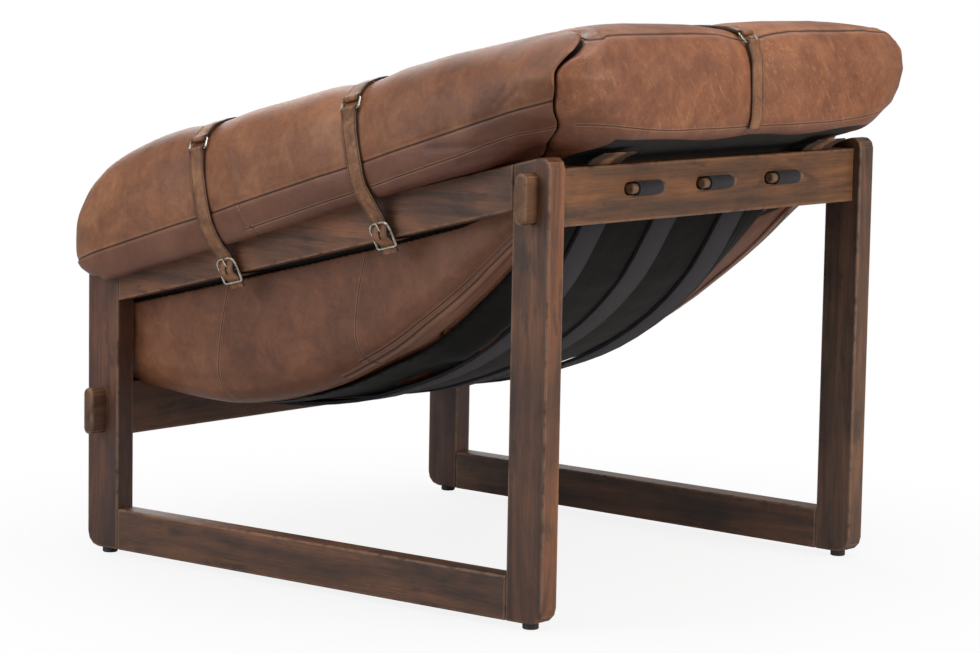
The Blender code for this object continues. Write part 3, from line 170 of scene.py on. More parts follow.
class Finish:
    """A material, and the nodes that give it its colour, roughness and relief."""

    def __init__(self, name, **shader_values):
        self.material = bpy.data.materials.new(name)
        self.material.use_nodes = True
        self.tree = self.material.node_tree
        self.shader = self.tree.nodes["Principled BSDF"]
        for key, value in shader_values.items():
            self.shader.inputs[key.replace("_", " ")].default_value = value
        self.place = self.node("ShaderNodeTexCoord", output="Object")

    def node(self, kind, inputs=(), output=0, stops=None, **settings):
        """Add a node: its settings first, then its colour stops, then values or links of its inputs."""
        made = self.tree.nodes.new(kind)
        for key, value in settings.items():
            setattr(made, key, value)
        if stops:
            ramp = made.color_ramp.elements
            while len(ramp) < len(stops):
                ramp.new(1.0)
            for element, (position, color) in zip(ramp, stops):
                element.position = position
                element.color = (*color, 1.0)
        pairs = inputs.items() if isinstance(inputs, dict) else enumerate(inputs)
        for key, value in pairs:
            if isinstance(value, Socket):
                self.tree.links.new(value.output, made.inputs[key])
            else:
                made.inputs[key].default_value = value
        return Socket(self, made.outputs[output])

    def stretched(self, scale, turn=(0, 0, 0)):
        """Object coordinates in metres, turned and then scaled along each axis."""
        turned = self.node("ShaderNodeMapping", {"Vector": self.place, "Rotation": turn})
        return self.node("ShaderNodeMapping", {"Vector": turned, "Scale": scale})

    def noise(self, place, scale=1.0, detail=3.0, roughness=0.5, distortion=0.0):
        return self.node("ShaderNodeTexNoise", {"Vector": place, "Scale": scale, "Detail": detail,
                                                "Roughness": roughness, "Distortion": distortion})

    def attribute(self, name):
        return self.node("ShaderNodeAttribute", output="Fac", attribute_name=name)

    def ramp(self, factor, *stops):
        return self.node("ShaderNodeValToRGB", [factor], stops=stops)

    def mix(self, factor, first, second, blend="MIX"):
        def color(value):
            return value if isinstance(value, Socket) else (*value, 1.0)
        return self.node("ShaderNodeMix", {0: factor, 6: color(first), 7: color(second)}, 2,
                         data_type="RGBA", blend_type=blend)

    def bump(self, height, distance, strength=1.0, normal=None):
        inputs = {"Height": height, "Distance": distance, "Strength": strength}
        if normal:
            inputs["Normal"] = normal
        return self.node("ShaderNodeBump", inputs)

    def wear(self, **links):
        """Link sockets of the shader, with underscores for spaces."""
        for key, value in links.items():
            self.tree.links.new(value.output, self.shader.inputs[key.replace("_", " ")])
        return self.material


def wood_finish(name, turn, warmth, rear=0.0, light_and_stain_tint=(1.0, 1.0, 1.0)):
    """Walnut-stained hardwood, with its grain along the first axis after the turn.

    warmth is how far the stain turns to amber, and rear how much painted warm light the rear-facing faces
    get. The last tint is painted light and shade, one for each part.
    """
    wood = Finish(name, Specular_IOR_Level=0.45)
    figure = wood.noise(wood.stretched((2.6, 26, 26), turn), detail=5, roughness=0.62, distortion=0.9)
    fibre = wood.noise(wood.stretched((9, 420, 420), turn), detail=3, roughness=0.7)
    pore = wood.noise(wood.stretched((34, 1500, 1500), turn), detail=2)
    blotch = wood.noise(wood.place, 7.5, 4, 0.6)
    tone = figure * 0.62 + fibre * 0.24 + blotch * 0.34
    color = wood.ramp(tone, (0.40, (0.020, 0.013, 0.011)), (0.52, (0.052, 0.031, 0.022)),
                      (0.62, (0.098, 0.056, 0.034)), (0.74, (0.175, 0.098, 0.054)))
    # The per-part tint paints the light and shade that each part gets, on top of the shared stain: lit and
    # shaded copies of one walnut.
    stain_and_light = tuple(base * extra for base, extra in zip(WOOD_STAIN, light_and_stain_tint))
    color = wood.mix(1.0, color, stain_and_light, "MULTIPLY")
    color = wood.mix(warmth, color, (1.35, 0.90, 0.60), "MULTIPLY")
    # Painted light: faces that turn towards the rear are lightened and warmed by the rear amount.
    behind = wood.node("ShaderNodeSeparateXYZ", [wood.node("ShaderNodeNewGeometry", output="Normal")], 1)
    color = wood.mix(behind.step(0.3, 0.9) * rear, color, (1.95, 1.70, 1.26), "MULTIPLY")
    patch = wood.noise(wood.stretched((14, 38, 38), turn), detail=4, roughness=0.6, distortion=0.5)
    color = wood.mix(patch.step(0.56, 0.68) * 0.55, color, (0.022, 0.013, 0.010))
    color = wood.mix(pore.step(0.60, 0.70) * 0.55, color, (0.014, 0.010, 0.009))
    # Lighter edges found by the bevel: partly wear, partly a painted highlight along the rounded arrises.
    edge = wood.node("ShaderNodeBevel", {"Radius": 0.0035}, samples=4)
    facing = wood.node("ShaderNodeNewGeometry", output="Normal")
    apart = wood.node("ShaderNodeVectorMath", (edge, facing), output=1, operation="DOT_PRODUCT")
    edge_wear_and_highlight = (1 - apart).step(0.004, 0.045) * wood.noise(wood.place, 60, 3).step(0.30, 0.55)
    color = wood.mix(edge_wear_and_highlight * 0.75, color, (0.34, 0.20, 0.12))
    relief = fibre * 0.5 - pore.step(0.58, 0.72) * 0.8
    return wood.wear(Base_Color=color, Roughness=0.34 + fibre * 0.22 + blotch * 0.10,
                     Normal=wood.bump(relief, 0.00025, 0.6, edge))


def leather_finish(name, tint=(1.0, 1.0, 1.0), scratched=0.18):
    """Brown pull-up leather, paler where it is stretched and rubbed and darker in its seams, with painted
    shade on its undersides and in its creases, and black in the lining and as painted shade in the gaps
    below the rails.
    """
    hide = Finish(name, Specular_IOR_Level=0.45)
    broad = hide.noise(hide.place, 4.2, 3, 0.5, 0.3)
    cloudy = hide.noise(hide.place, 24, 5, 0.60, 0.7)
    mottle = hide.noise(hide.place, 115, 3, 0.6)
    tone = broad * 0.50 + cloudy * 0.42 + mottle * 0.20 - 0.05
    color = hide.ramp(tone, (0.37, (0.088, 0.029, 0.012)), (0.48, (0.145, 0.051, 0.022)),
                      (0.58, (0.198, 0.076, 0.034)), (0.72, (0.290, 0.130, 0.064)))
    bend = hide.node("ShaderNodeTexNoise", {"Vector": hide.place, "Scale": 30.0, "Detail": 3.0}, output=1)
    bend = hide.node("ShaderNodeVectorMath", {0: bend, 1: (0.035, 0.035, 0.035)}, operation="MULTIPLY")
    bent = hide.node("ShaderNodeVectorMath", (hide.place, bend), operation="ADD")
    vein = hide.node("ShaderNodeTexVoronoi", {"Vector": bent, "Scale": 62.0},
                     feature="DISTANCE_TO_EDGE")
    vein = (1 - vein.step(0.0, 0.05)) * cloudy.step(0.45, 0.60)
    streak = hide.noise(hide.stretched((26, 330, 330), (0.5, 0.9, 0.35)), detail=2, distortion=0.7)
    counter = hide.noise(hide.stretched((30, 380, 380), (0.2, -0.8, 0.6)), detail=2, distortion=0.9)
    streak = (streak.step(0.62, 0.70) + counter.step(0.63, 0.71)) * broad.step(0.40, 0.56)
    color = hide.mix((vein * 0.30 + streak * 0.75) * scratched, color, (0.34, 0.180, 0.100))
    color = hide.mix(1.0, color, tint, "MULTIPLY")
    # Painted shade: the under attribute darkens faces that turn down, the arms' lower bands and walls, and
    # the back roll's lower band.
    color = hide.mix(hide.attribute("under") * 0.75, color, (0.078, 0.023, 0.014))
    gap = hide.attribute("seam_gap").size()
    near = 1 - hide.attribute("seam_near").step(0.004, 0.007)
    fine_gap = hide.attribute("fine_gap").size()
    fine_near = 1 - hide.attribute("fine_near").step(0.004, 0.007)
    mitre = 1 - hide.attribute("mitre_gap").step(0.0001, 0.0013)
    black_lining_and_gap_shade = hide.attribute("lining_and_gap_shade").step(-0.0003, 0.0003)
    seam = (1 - gap.step(0.0004, 0.0013)) * near + (1 - fine_gap.step(0.0003, 0.0009)) * fine_near * 0.75
    pinch = gap.step(0.0012, 0.0022) * (1 - gap.step(0.0026, 0.0060)) * near
    fine_pinch = fine_gap.step(0.0008, 0.0013) * (1 - fine_gap.step(0.0016, 0.0028)) * fine_near
    worn = (hide.attribute("rub") + pinch * 0.5 + fine_pinch * 0.8).clamped()
    color = hide.mix(worn * (0.15 + cloudy * 0.55), color, (0.33, 0.175, 0.10))
    # The seams and the mitre are dark joints; the fold attribute adds painted shade in the creases and
    # along the straps' edges where they press in.
    dark = (seam + mitre + hide.attribute("fold")).clamped()
    color = hide.mix(dark * 0.92, color, (0.016, 0.007, 0.005))
    # Black: the real lining cloth under the back roll, and painted shade in the arms' gap below the rails.
    color = hide.mix(black_lining_and_gap_shade, color, (0.006, 0.006, 0.006))
    cells = hide.node("ShaderNodeTexVoronoi", {"Vector": bent, "Scale": 560.0},
                      feature="DISTANCE_TO_EDGE").step(0.0, 0.30)
    folds = hide.noise(hide.place, 150, 3, 0.6, 0.8)
    relief = cells * 0.30 + folds * 0.8 + mottle * 0.5 - seam * 2.5 + pinch * 0.8
    gloss = 0.37 + mottle * 0.14 + cloudy * 0.10 + dark * 0.25 + black_lining_and_gap_shade * 0.3
    return hide.wear(Base_Color=color, Roughness=gloss, Normal=hide.bump(relief, 0.00045, 0.7))


def strap_finish():
    """Strap leather, burnished dark along its cut edges."""
    hide = Finish("strap_leather_finish", Specular_IOR_Level=0.42)
    cloudy = hide.noise(hide.place, 45, 4, 0.6, 0.5)
    mottle = hide.noise(hide.place, 240, 3, 0.6)
    tone = cloudy * 0.7 + mottle * 0.3
    color = hide.ramp(tone, (0.34, (0.100, 0.040, 0.016)), (0.50, (0.190, 0.080, 0.033)),
                      (0.68, (0.300, 0.148, 0.068)))
    across = hide.attribute("across").size()
    edge = across.step(0.0112, 0.0123)
    groove = 1 - (across - 0.0099).size().step(0.0004, 0.0013)
    color = hide.mix(groove * 0.55, color, (0.040, 0.016, 0.010))
    color = hide.mix(edge * 0.90, color, (0.020, 0.009, 0.006))
    grain = hide.node("ShaderNodeTexVoronoi", {"Vector": hide.place, "Scale": 900.0},
                      feature="DISTANCE_TO_EDGE").step(0.0, 0.3)
    relief = grain * 0.4 + mottle * 0.9 - groove * 1.6
    return hide.wear(Base_Color=color, Roughness=0.38 + mottle * 0.22,
                     Normal=hide.bump(relief, 0.0003, 0.8))


def webbing_finish():
    """Dark twill webbing."""
    web = Finish("webbing_weave", Specular_IOR_Level=0.25, Sheen_Weight=0.12)
    fine = (1900.0, 1250.0, 1250.0)
    warp = web.node("ShaderNodeTexWave", {"Vector": web.stretched(fine), "Scale": 1.0, "Distortion": 0.6},
                    output="Fac", bands_direction="X")
    weft = web.node("ShaderNodeTexWave", {"Vector": web.stretched(fine, (0, 0, 0.9)), "Scale": 1.0,
                                          "Distortion": 0.8}, output="Fac", bands_direction="DIAGONAL")
    thread = warp * 0.55 + weft * 0.45
    dusty = web.noise(web.place, 40, 4, 0.6)
    color = web.mix(thread, (0.007, 0.006, 0.010), (0.026, 0.023, 0.034))
    color = web.mix(dusty.step(0.5, 0.75) * 0.4, color, (0.036, 0.032, 0.046))
    return web.wear(Base_Color=color, Roughness=0.72 + dusty * 0.2,
                    Normal=web.bump(thread, 0.0003, 0.9))


def lining_finish():
    """Black woven lining cloth."""
    cloth = Finish("lining_weave", Specular_IOR_Level=0.12, Sheen_Weight=0.05)
    fold = cloth.noise(cloth.place, 18, 4, 0.55, 0.4)
    fuzz = cloth.noise(cloth.place, 1400, 2)
    color = cloth.mix(fuzz * 0.7 + fold * 0.3, (0.0015, 0.0015, 0.0015), (0.0075, 0.0073, 0.0070))
    return cloth.wear(Base_Color=color, Roughness=0.80 + fuzz * 0.15,
                      Normal=cloth.bump(fuzz * 0.3 + fold * 6, 0.0006, 0.8))


def metal_finish():
    """Antique nickel, tarnished brown in its hollows."""
    metal = Finish("antique_nickel_finish", Metallic=1.0)
    tarnish = metal.noise(metal.place, 320, 4, 0.6)
    color = metal.mix(tarnish.step(0.42, 0.68), (0.60, 0.565, 0.50), (0.24, 0.205, 0.155))
    return metal.wear(Base_Color=color, Roughness=0.24 + tarnish * 0.26,
                      Normal=metal.bump(tarnish, 0.0001, 0.5))


def peg_finish():
    """Bare dowel with a fine straight grain along X."""
    peg = Finish("pale_dowel_finish")
    fibre = peg.noise(peg.stretched((30, 900, 900)), detail=3)
    smudge = peg.noise(peg.place, 180, 3)
    color = peg.mix(fibre, (0.10, 0.050, 0.026), (0.21, 0.115, 0.062))
    color = peg.mix(smudge.step(0.5, 0.7) * 0.7, color, (0.040, 0.020, 0.013))
    return peg.wear(Base_Color=color, Roughness=0.55 + fibre * 0.2, Normal=peg.bump(fibre, 0.0002, 0.6))


def thread_finish(name, color):
    """Waxed sewing thread."""
    thread = Finish(name)
    twist = thread.noise(thread.place, 2600, 2)
    shade = tuple(value * 0.6 for value in color)
    return thread.wear(Base_Color=thread.mix(twist, shade, color), Roughness=0.5 + twist * 0.2)


def glide_finish():
    """Moulded black plastic with a fine matt texture."""
    plastic = Finish("glide_plastic")
    speck = plastic.noise(plastic.place, 1500, 2)
    color = plastic.mix(speck, (0.012, 0.012, 0.012), (0.026, 0.026, 0.026))
    return plastic.wear(Base_Color=color, Roughness=0.42 + speck * 0.2,
                        Normal=plastic.bump(speck, 0.0001, 0.5))


# Meshes

def built_mesh(name, bm):
    """Mesh of what bmesh has built, which it then lets go."""
    mesh = bpy.data.meshes.new(name)
    bm.to_mesh(mesh)
    bm.free()
    return mesh


def add_piece(name, mesh, material=None):
    """Put a mesh in the scene as an object, with the material if one is given."""
    piece = bpy.data.objects.new(name, mesh)
    bpy.context.scene.collection.objects.link(piece)
    if material:
        mesh.materials.clear()
        mesh.materials.append(material)
    return piece


def settled(piece):
    """Apply a piece's modifiers."""
    graph = bpy.context.evaluated_depsgraph_get()
    mesh = bpy.data.meshes.new_from_object(piece.evaluated_get(graph))
    piece.modifiers.clear()
    piece.data = mesh
    return piece


def read_points(mesh):
    points = np.empty(len(mesh.vertices) * 3)
    mesh.vertices.foreach_get("co", points)
    return points.reshape(-1, 3)


def read_normals(mesh):
    normals = np.empty(len(mesh.vertices) * 3)
    mesh.vertices.foreach_get("normal", normals)
    return normals.reshape(-1, 3)


def write_points(mesh, points):
    mesh.vertices.foreach_set("co", points.reshape(-1))
    mesh.update()


def write_values(mesh, name, values, low=0.0):
    """Store one number for each point of a mesh, for its material to read."""
    layer = mesh.attributes.new(name, "FLOAT", "POINT")
    values = np.broadcast_to(values, (len(mesh.vertices),))
    layer.data.foreach_set("value", np.clip(values, low, 1).astype(np.float32))


def smooth_step(values, low, high):
    """0 below low, 1 above high, and smooth between them."""
    share = np.clip((values - low) / (high - low), 0, 1)
    return share * share * (3 - 2 * share)


def bell(distance, width):
    """1 at no distance, falling to nothing beyond the width."""
    return np.exp(-(distance / width) ** 2)


def ripple(points, scale, seed):
    """Smooth noise from -1 to 1 at each point. scale is three numbers of ripples in a metre."""
    shift = Vector((seed * 7.3, seed * 3.1, seed * 5.7))
    scale = np.broadcast_to(np.asarray(scale, float), (3,))
    return np.array([noise.noise(Vector(p) + shift) for p in points * scale])


def depth_of(points):
    """Distance of each point behind the middle of the frame's depth."""
    return points[:, 1] + SHIFT


def rail_frame(points):
    """(outward from a side frame's outer face, square off the rail's top, strap depth, depth)."""
    depth = depth_of(points)
    outward = np.abs(points[:, 0]) - HALF_WIDTH + math.tan(TOE) * depth
    over = points[:, 2] - (POST_TOP - math.tan(SLOPE) * (HALF_DEPTH - depth))
    square = over * math.cos(SLOPE)
    return outward, square, depth + square * math.sin(SLOPE), depth


# Cushions

def along_wall(depth, values):
    """Values of one of the walls' tables at each depth, with the table's corners rounded."""
    shifts = (-0.030, -0.015, 0.0, 0.015, 0.030)
    return sum(np.interp(depth + shift, WALL_DEPTHS, values) for shift in shifts) / len(shifts)


def nearest(*gaps):
    """Of several signed distances, the one nearest to zero at each point."""
    gaps = np.stack(gaps)
    return gaps[np.argmin(np.abs(gaps), axis=0), np.arange(gaps.shape[1])]


def arm_seams(points):
    """Signed distances of points of an arm to its deep seam and to its fine seams, 1 where it has none."""
    outward, square, _, depth = rail_frame(points)
    face = (square > -0.020) & (outward > -0.004)
    long_height = 0.034 + 0.065 * depth
    long_seam = np.where(face, square - long_height, 1.0)
    low_seam = np.where(face & (depth > -0.07), square - 0.009 - 0.074 * (depth - 0.130), 1.0)
    cross = np.where(face & (square < long_height), depth + 0.072 + 0.6 * (square - 0.015), 1.0)
    wall = (square < -0.055) & (outward < -0.020)
    middle = square + 0.17
    side_seams = [np.where(wall, depth - place - 1.6 * middle ** 2, 1.0) for place in (-0.187, 0.057)]
    wide = np.abs(points[:, 0])
    over = points[:, 2] - along_wall(depth, WALL_BOTTOM)
    lip = np.where(wall & (depth > 0.01) & (wide > 0.288), (over - 0.0020) * 0.75, 1.0)
    hem = np.where(wall & (depth > 0.05) & (wide > 0.294), (over - 0.0090) * 0.75, 1.0)
    piping = np.where((over < 0.020) & (square < -0.03), wide - PIPING_PLACE, 1.0)
    return long_seam, nearest(low_seam, cross, lip, hem, piping, *side_seams)


def strap_distance(points):
    """Distance to the middle line of the nearest strap on an arm."""
    _, square, strap_depth, _ = rail_frame(points)
    near = np.minimum(*[np.abs(strap_depth - place) for place in STRAP_PLACES])
    return np.where(square > -0.02, near, 1.0)


def mitre_distance(points):
    depth = depth_of(points)
    return np.abs(depth - np.abs(points[:, 0]) - MITRE_OFFSET) / math.sqrt(2)


def low_seam_height(side):
    """Height of the seam low on the back roll."""
    return 0.6225 + 0.012 * smooth_step(np.abs(side), 0.16, 0.36)


def back_seams(points):
    depth = depth_of(points)
    side, high = points[:, 0], points[:, 2]
    dip = 0.010 * bell(side, 0.05)
    top = np.where((depth > 0.375) & (high > 0.70), high - 0.7445 + dip, 1.0)
    inner = np.where(depth < 0.36, high - 0.735, 1.0)
    low = np.where(depth > 0.435, high - low_seam_height(side), 1.0)
    return nearest(top, inner), low


def seat_seams(points):
    depth = depth_of(points)
    lip = np.where(depth < -HALF_DEPTH + 0.01, points[:, 2] - 0.288, 1.0)
    panel = np.where(points[:, 2] > 0.29, depth + 0.375, 1.0)
    return lip, panel


def hold_arm(points):
    """How firmly each point of an arm is held while the arm is filled, from 0 to 1."""
    outward, square, _, _ = rail_frame(points)
    side = np.abs(points[:, 0])
    deep = np.abs(arm_seams(points)[0])
    on_rail = (square < 0.004) & (outward > -0.034) & (outward < 0.004)
    wall = (square < 0.002) & (outward < -0.022)
    seat_side = side < 0.2455
    low_seat = seat_side & (square < 0.03)
    return np.maximum.reduce([
        1 - smooth_step(deep, 0.003, 0.008), 1 - smooth_step(strap_distance(points), 0.015, 0.020),
        1 - smooth_step(mitre_distance(points), 0.002, 0.006), on_rail * 1.0, wall * 0.93, low_seat * 1.0])


def hold_back(points):
    depth = depth_of(points)
    side, high = np.abs(points[:, 0]), points[:, 2]
    deep, low = np.abs(back_seams(points))
    resting = (high < 0.606) & (depth > 0.335)
    behind = (depth > 0.335) & (depth < 0.350) & (high < 0.61)
    under = (high < 0.56) & (depth > 0.25)
    strap = (depth > 0.26) | (high > 0.70)
    held = 1 - smooth_step(side, 0.015, 0.020)
    joint = (depth < 0.118) | ((side > 0.240) & (depth < 0.30))
    return np.maximum.reduce([
        1 - smooth_step(deep, 0.003, 0.008), (1 - smooth_step(low, 0.002, 0.006)) * 0.9, held * strap,
        1 - smooth_step(mitre_distance(points), 0.002, 0.006), resting * 1.0, behind * 1.0,
        under * 1.0, joint * 1.0])


def hold_seat(points):
    depth = depth_of(points)
    side, high = np.abs(points[:, 0]), points[:, 2]
    deep = np.abs(seat_seams(points)[0])
    resting = high < 0.243
    under = high < 0.21
    return np.maximum.reduce([1 - smooth_step(deep, 0.003, 0.008), resting * 1.0, under * 1.0,
                              (side > 0.239) * 1.0, (depth > 0.119) * 1.0])


def even_copy(name, node, grain):
    """Copy of a CAD solid in small even faces, with its facets softened."""
    piece = add_piece(name, nodes[node].data.copy())
    remesh = piece.modifiers.new("even faces", "REMESH")
    remesh.mode = "VOXEL"
    remesh.voxel_size = grain
    soften = piece.modifiers.new("soften facets", "SMOOTH")
    soften.factor = 0.5
    soften.iterations = SOFTEN_ROUNDS
    return settled(piece)


def fill_cushion(piece, held, cap):
    """Blow a cushion up as cloth that is held at its seams, straps and seats, by at most the cap."""
    start = read_points(piece.data)
    group = piece.vertex_groups.new(name="held")
    for index, share in enumerate(held):
        if share > 0:
            group.add([index], float(share), "REPLACE")
    cloth = piece.modifiers.new("filling", "CLOTH")
    cover = cloth.settings
    cover.quality = 3
    cover.mass = 0.25
    cover.tension_stiffness = 26
    cover.compression_stiffness = 20
    cover.shear_stiffness = 8
    cover.bending_stiffness = 1.2
    cover.air_damping = 2.0
    cover.use_pressure = True
    cover.uniform_pressure_force = 4.0
    cover.vertex_group_mass = "held"
    cover.pin_stiffness = 1.0
    cover.effector_weights.gravity = 0.0
    cloth.point_cache.frame_start = 1
    cloth.point_cache.frame_end = FILL_FRAMES
    scene = bpy.context.scene
    for number in range(1, FILL_FRAMES + 1):
        scene.frame_set(number)
    graph = bpy.context.evaluated_depsgraph_get()
    filled = bpy.data.meshes.new_from_object(piece.evaluated_get(graph))
    end = read_points(filled)
    piece.modifiers.clear()
    scene.frame_set(1)
    move = end - start
    length = np.linalg.norm(move, axis=1)
    limit = cap * (1 - np.exp(-length / cap))
    write_points(piece.data, start + move * (limit / np.maximum(length, 1e-9))[:, None])
    print(piece.name, len(start), "points, widest move", round(float(length.max()) * 1000, 1), "mm")


def finer(piece):
    """One round of subdivision."""
    level = piece.modifiers.new("finer", "SUBSURF")
    level.levels = 1
    level.render_levels = 1
    return settled(piece)


def draw_corner(points):
    """Round a roll's outer corner: swing its mitre seam towards the back, and draw the corner in below."""
    points = points.copy()
    side = np.sign(points[:, 0])
    wide, high = np.abs(points[:, 0]), points[:, 2]
    swing = 0.036 * smooth_step(high, 0.695, 0.742) * smooth_step(wide, 0.27, 0.34)
    swing += 0.008 * bell(high - 0.632, 0.014) * smooth_step(wide, 0.33, 0.37)
    swing *= (1 - smooth_step(mitre_distance(points), 0.0, 0.11)) * DIAGONAL
    tuck = np.interp(high, TUCK_HEIGHTS, TUCK_DEPTHS) * DIAGONAL
    apart = np.hypot(wide - 0.40, depth_of(points) - 0.44)
    tuck *= 1 - smooth_step(apart, 0.02, 0.16)
    points[:, 0] -= side * (swing + tuck)
    points[:, 1] += swing - tuck
    return points


def drawn_up(points, ceiling):
    """How far each point of the underside is drawn up, less the nearer it is to the ceiling."""
    depth = depth_of(points)
    bottom = along_wall(depth, WALL_BOTTOM)
    share = np.clip((points[:, 2] - bottom) / np.maximum(ceiling - bottom, 0.02), 0, 1)
    inner = 0.135 + 0.055 * smooth_step(depth, 0.04, 0.14)
    wide = np.abs(points[:, 0])
    outer = np.clip((wide - inner) / (HULL_EDGE - inner), 0, 1)
    hidden = 0.008 * smooth_step(wide, 0.165, 0.205) * (1 - smooth_step(wide, 0.262, 0.290))
    hidden *= smooth_step(depth, -0.36, -0.30) * (1 - smooth_step(depth, 0.03, 0.12))
    return (along_wall(depth, WALL_LIFT) * outer + hidden) * (1 - share)


def meet_back(points):
    """Widen an arm's end to the outline of the back roll that it meets along the mitre."""
    along = (np.abs(points[:, 0]) + points[:, 1] + SHIFT) / math.sqrt(2) - MITRE_MIDDLE[0]
    high = points[:, 2] - MITRE_MIDDLE[1]
    reach = np.maximum(np.hypot(along, high), 1e-6)
    growth = np.interp(np.degrees(np.arctan2(high, along)), MITRE_TURNS, MITRE_GROWTH, 0.0, 0.0)
    growth *= (1 - smooth_step(mitre_distance(points), 0.0, 0.08)) * smooth_step(reach, 0.03, 0.06) / reach
    points[:, 0] += np.sign(points[:, 0]) * growth * along * DIAGONAL
    points[:, 1] += growth * along * DIAGONAL
    points[:, 2] += growth * high
    return points


def draw_arm(points):
    """Shape an arm: its drooping front, its corner, and its wall drawn up under the sling."""
    outward, square, _, depth = rail_frame(points)
    rail_under = RAIL_UNDER + math.tan(SLOPE) * depth
    lift = drawn_up(points, rail_under) * (np.abs(points[:, 0]) < 0.36)
    points = draw_corner(meet_back(points))
    points[:, 2] += lift
    points[:, 2] -= 0.0185 * bell(depth + 0.39, 0.085) * smooth_step(square, 0.035, 0.110)
    floor = np.interp(0.83 * outward - depth, NOSE_REACHES, NOSE_FLOORS)
    below = 0.004 * np.log1p(np.exp(np.minimum((floor - square) / 0.004, 50)))
    below *= smooth_step(outward, -0.047, -0.032) * smooth_step(square, -0.085, -0.050)
    points[:, 2] += 0.94 * below
    points[:, 1] += 0.006 * smooth_step(-depth, 0.395, 0.440) * (1 - smooth_step(square, -0.030, 0.045))
    rise = (1 - smooth_step(mitre_distance(points), 0.0, 0.10)) * smooth_step(points[:, 2], 0.690, 0.735)
    points[:, 2] += 0.004 * rise
    return points


def draw_inside(points):
    """Shape the seat pad or the back roll: its corners, and its lower edges drawn up with the walls."""
    lift = drawn_up(points, along_wall(depth_of(points), WALL_BOTTOM) + 0.12)
    sink = (1 - smooth_step(mitre_distance(points), 0.0, 0.10)) * smooth_step(points[:, 2], 0.690, 0.735)
    points = draw_corner(points)
    points[:, 2] += lift - 0.005 * sink
    return points


def wall_slot(points):
    """Height of each point above a wall's own border, below the rail, where the leather is painted black as
    the shade in the gap. It is -1 away from there.
    """
    outward, square, _, depth = rail_frame(points)
    below = (square < -0.02) & (outward < -0.018) & (np.abs(points[:, 0]) > 0.30)
    below &= (depth > -0.394) & (depth < 0.285)
    closing = 0.45 * np.maximum(depth - 0.235, 0)
    return np.where(below, points[:, 2] - GAP_HEIGHT - GAP_SLOPE * depth - closing, -1.0)


def bare_underside(points):
    """How far each point of the back roll's underside lies below the edge of its leather."""
    side = points[:, 0]
    edge = low_seam_height(side) - 0.0140 + 0.0022 * np.cos(side * 31.0 + 0.6)
    below = (depth_of(points) > 0.345) & (np.abs(side) < 0.290)
    return np.where(below, edge - points[:, 2], -1.0)


def crease_arm(points):
    """Depth of the folds that the filling leaves in an arm's cover."""
    outward, square, _, depth = rail_frame(points)
    face = outward > 0.004
    sunken = np.zeros(len(points))
    folds = (
        ((0.335, 0.052), (0.375, 0.082), 0.0035, 0.0020), ((0.330, 0.052), (0.355, 0.090), 0.003, 0.0014),
        ((0.372, 0.018), (0.240, 0.040), 0.0045, 0.0022), ((0.372, 0.010), (0.290, 0.012), 0.004, 0.0016),
        ((0.165, 0.020), (0.215, 0.012), 0.004, 0.0010), ((-0.095, 0.100), (-0.075, 0.060), 0.005, 0.0010),
        ((0.150, 0.110), (0.180, 0.060), 0.006, 0.0009), ((-0.180, 0.060), (-0.200, 0.030), 0.005, 0.0009),
    )
    place = np.stack([depth, square], axis=1)
    for start, end, width, deep in folds:
        start, end = np.array(start), np.array(end)
        run = end - start
        share = np.clip(((place - start) @ run) / (run @ run), 0, 1)
        gap = np.linalg.norm(place - start - share[:, None] * run, axis=1)
        sunken += deep * bell(gap, width) * face * (0.35 + 0.65 * share)
    return sunken


def rim_distance(points, mitre, node):
    """Distances to the mitre line, with the rim that turns in to it counted as leather beside the line."""
    mesh = nodes[node].data
    mesh.calc_loop_triangles()
    places = read_points(mesh)
    skin = [triangle.vertices for triangle in mesh.loop_triangles
            if mitre_distance(places[list(triangle.vertices)]).max() > 0.002]
    cover = BVHTree.FromPolygons([vertex.co for vertex in mesh.vertices], skin)
    gaps = mitre.copy()
    for index in np.nonzero(mitre < 0.002)[0]:
        inset = cover.find_nearest(Vector(points[index]))[3]
        gaps[index] += 0.0016 * (1 - float(smooth_step(inset, 0.0025, 0.0050)))
    return gaps


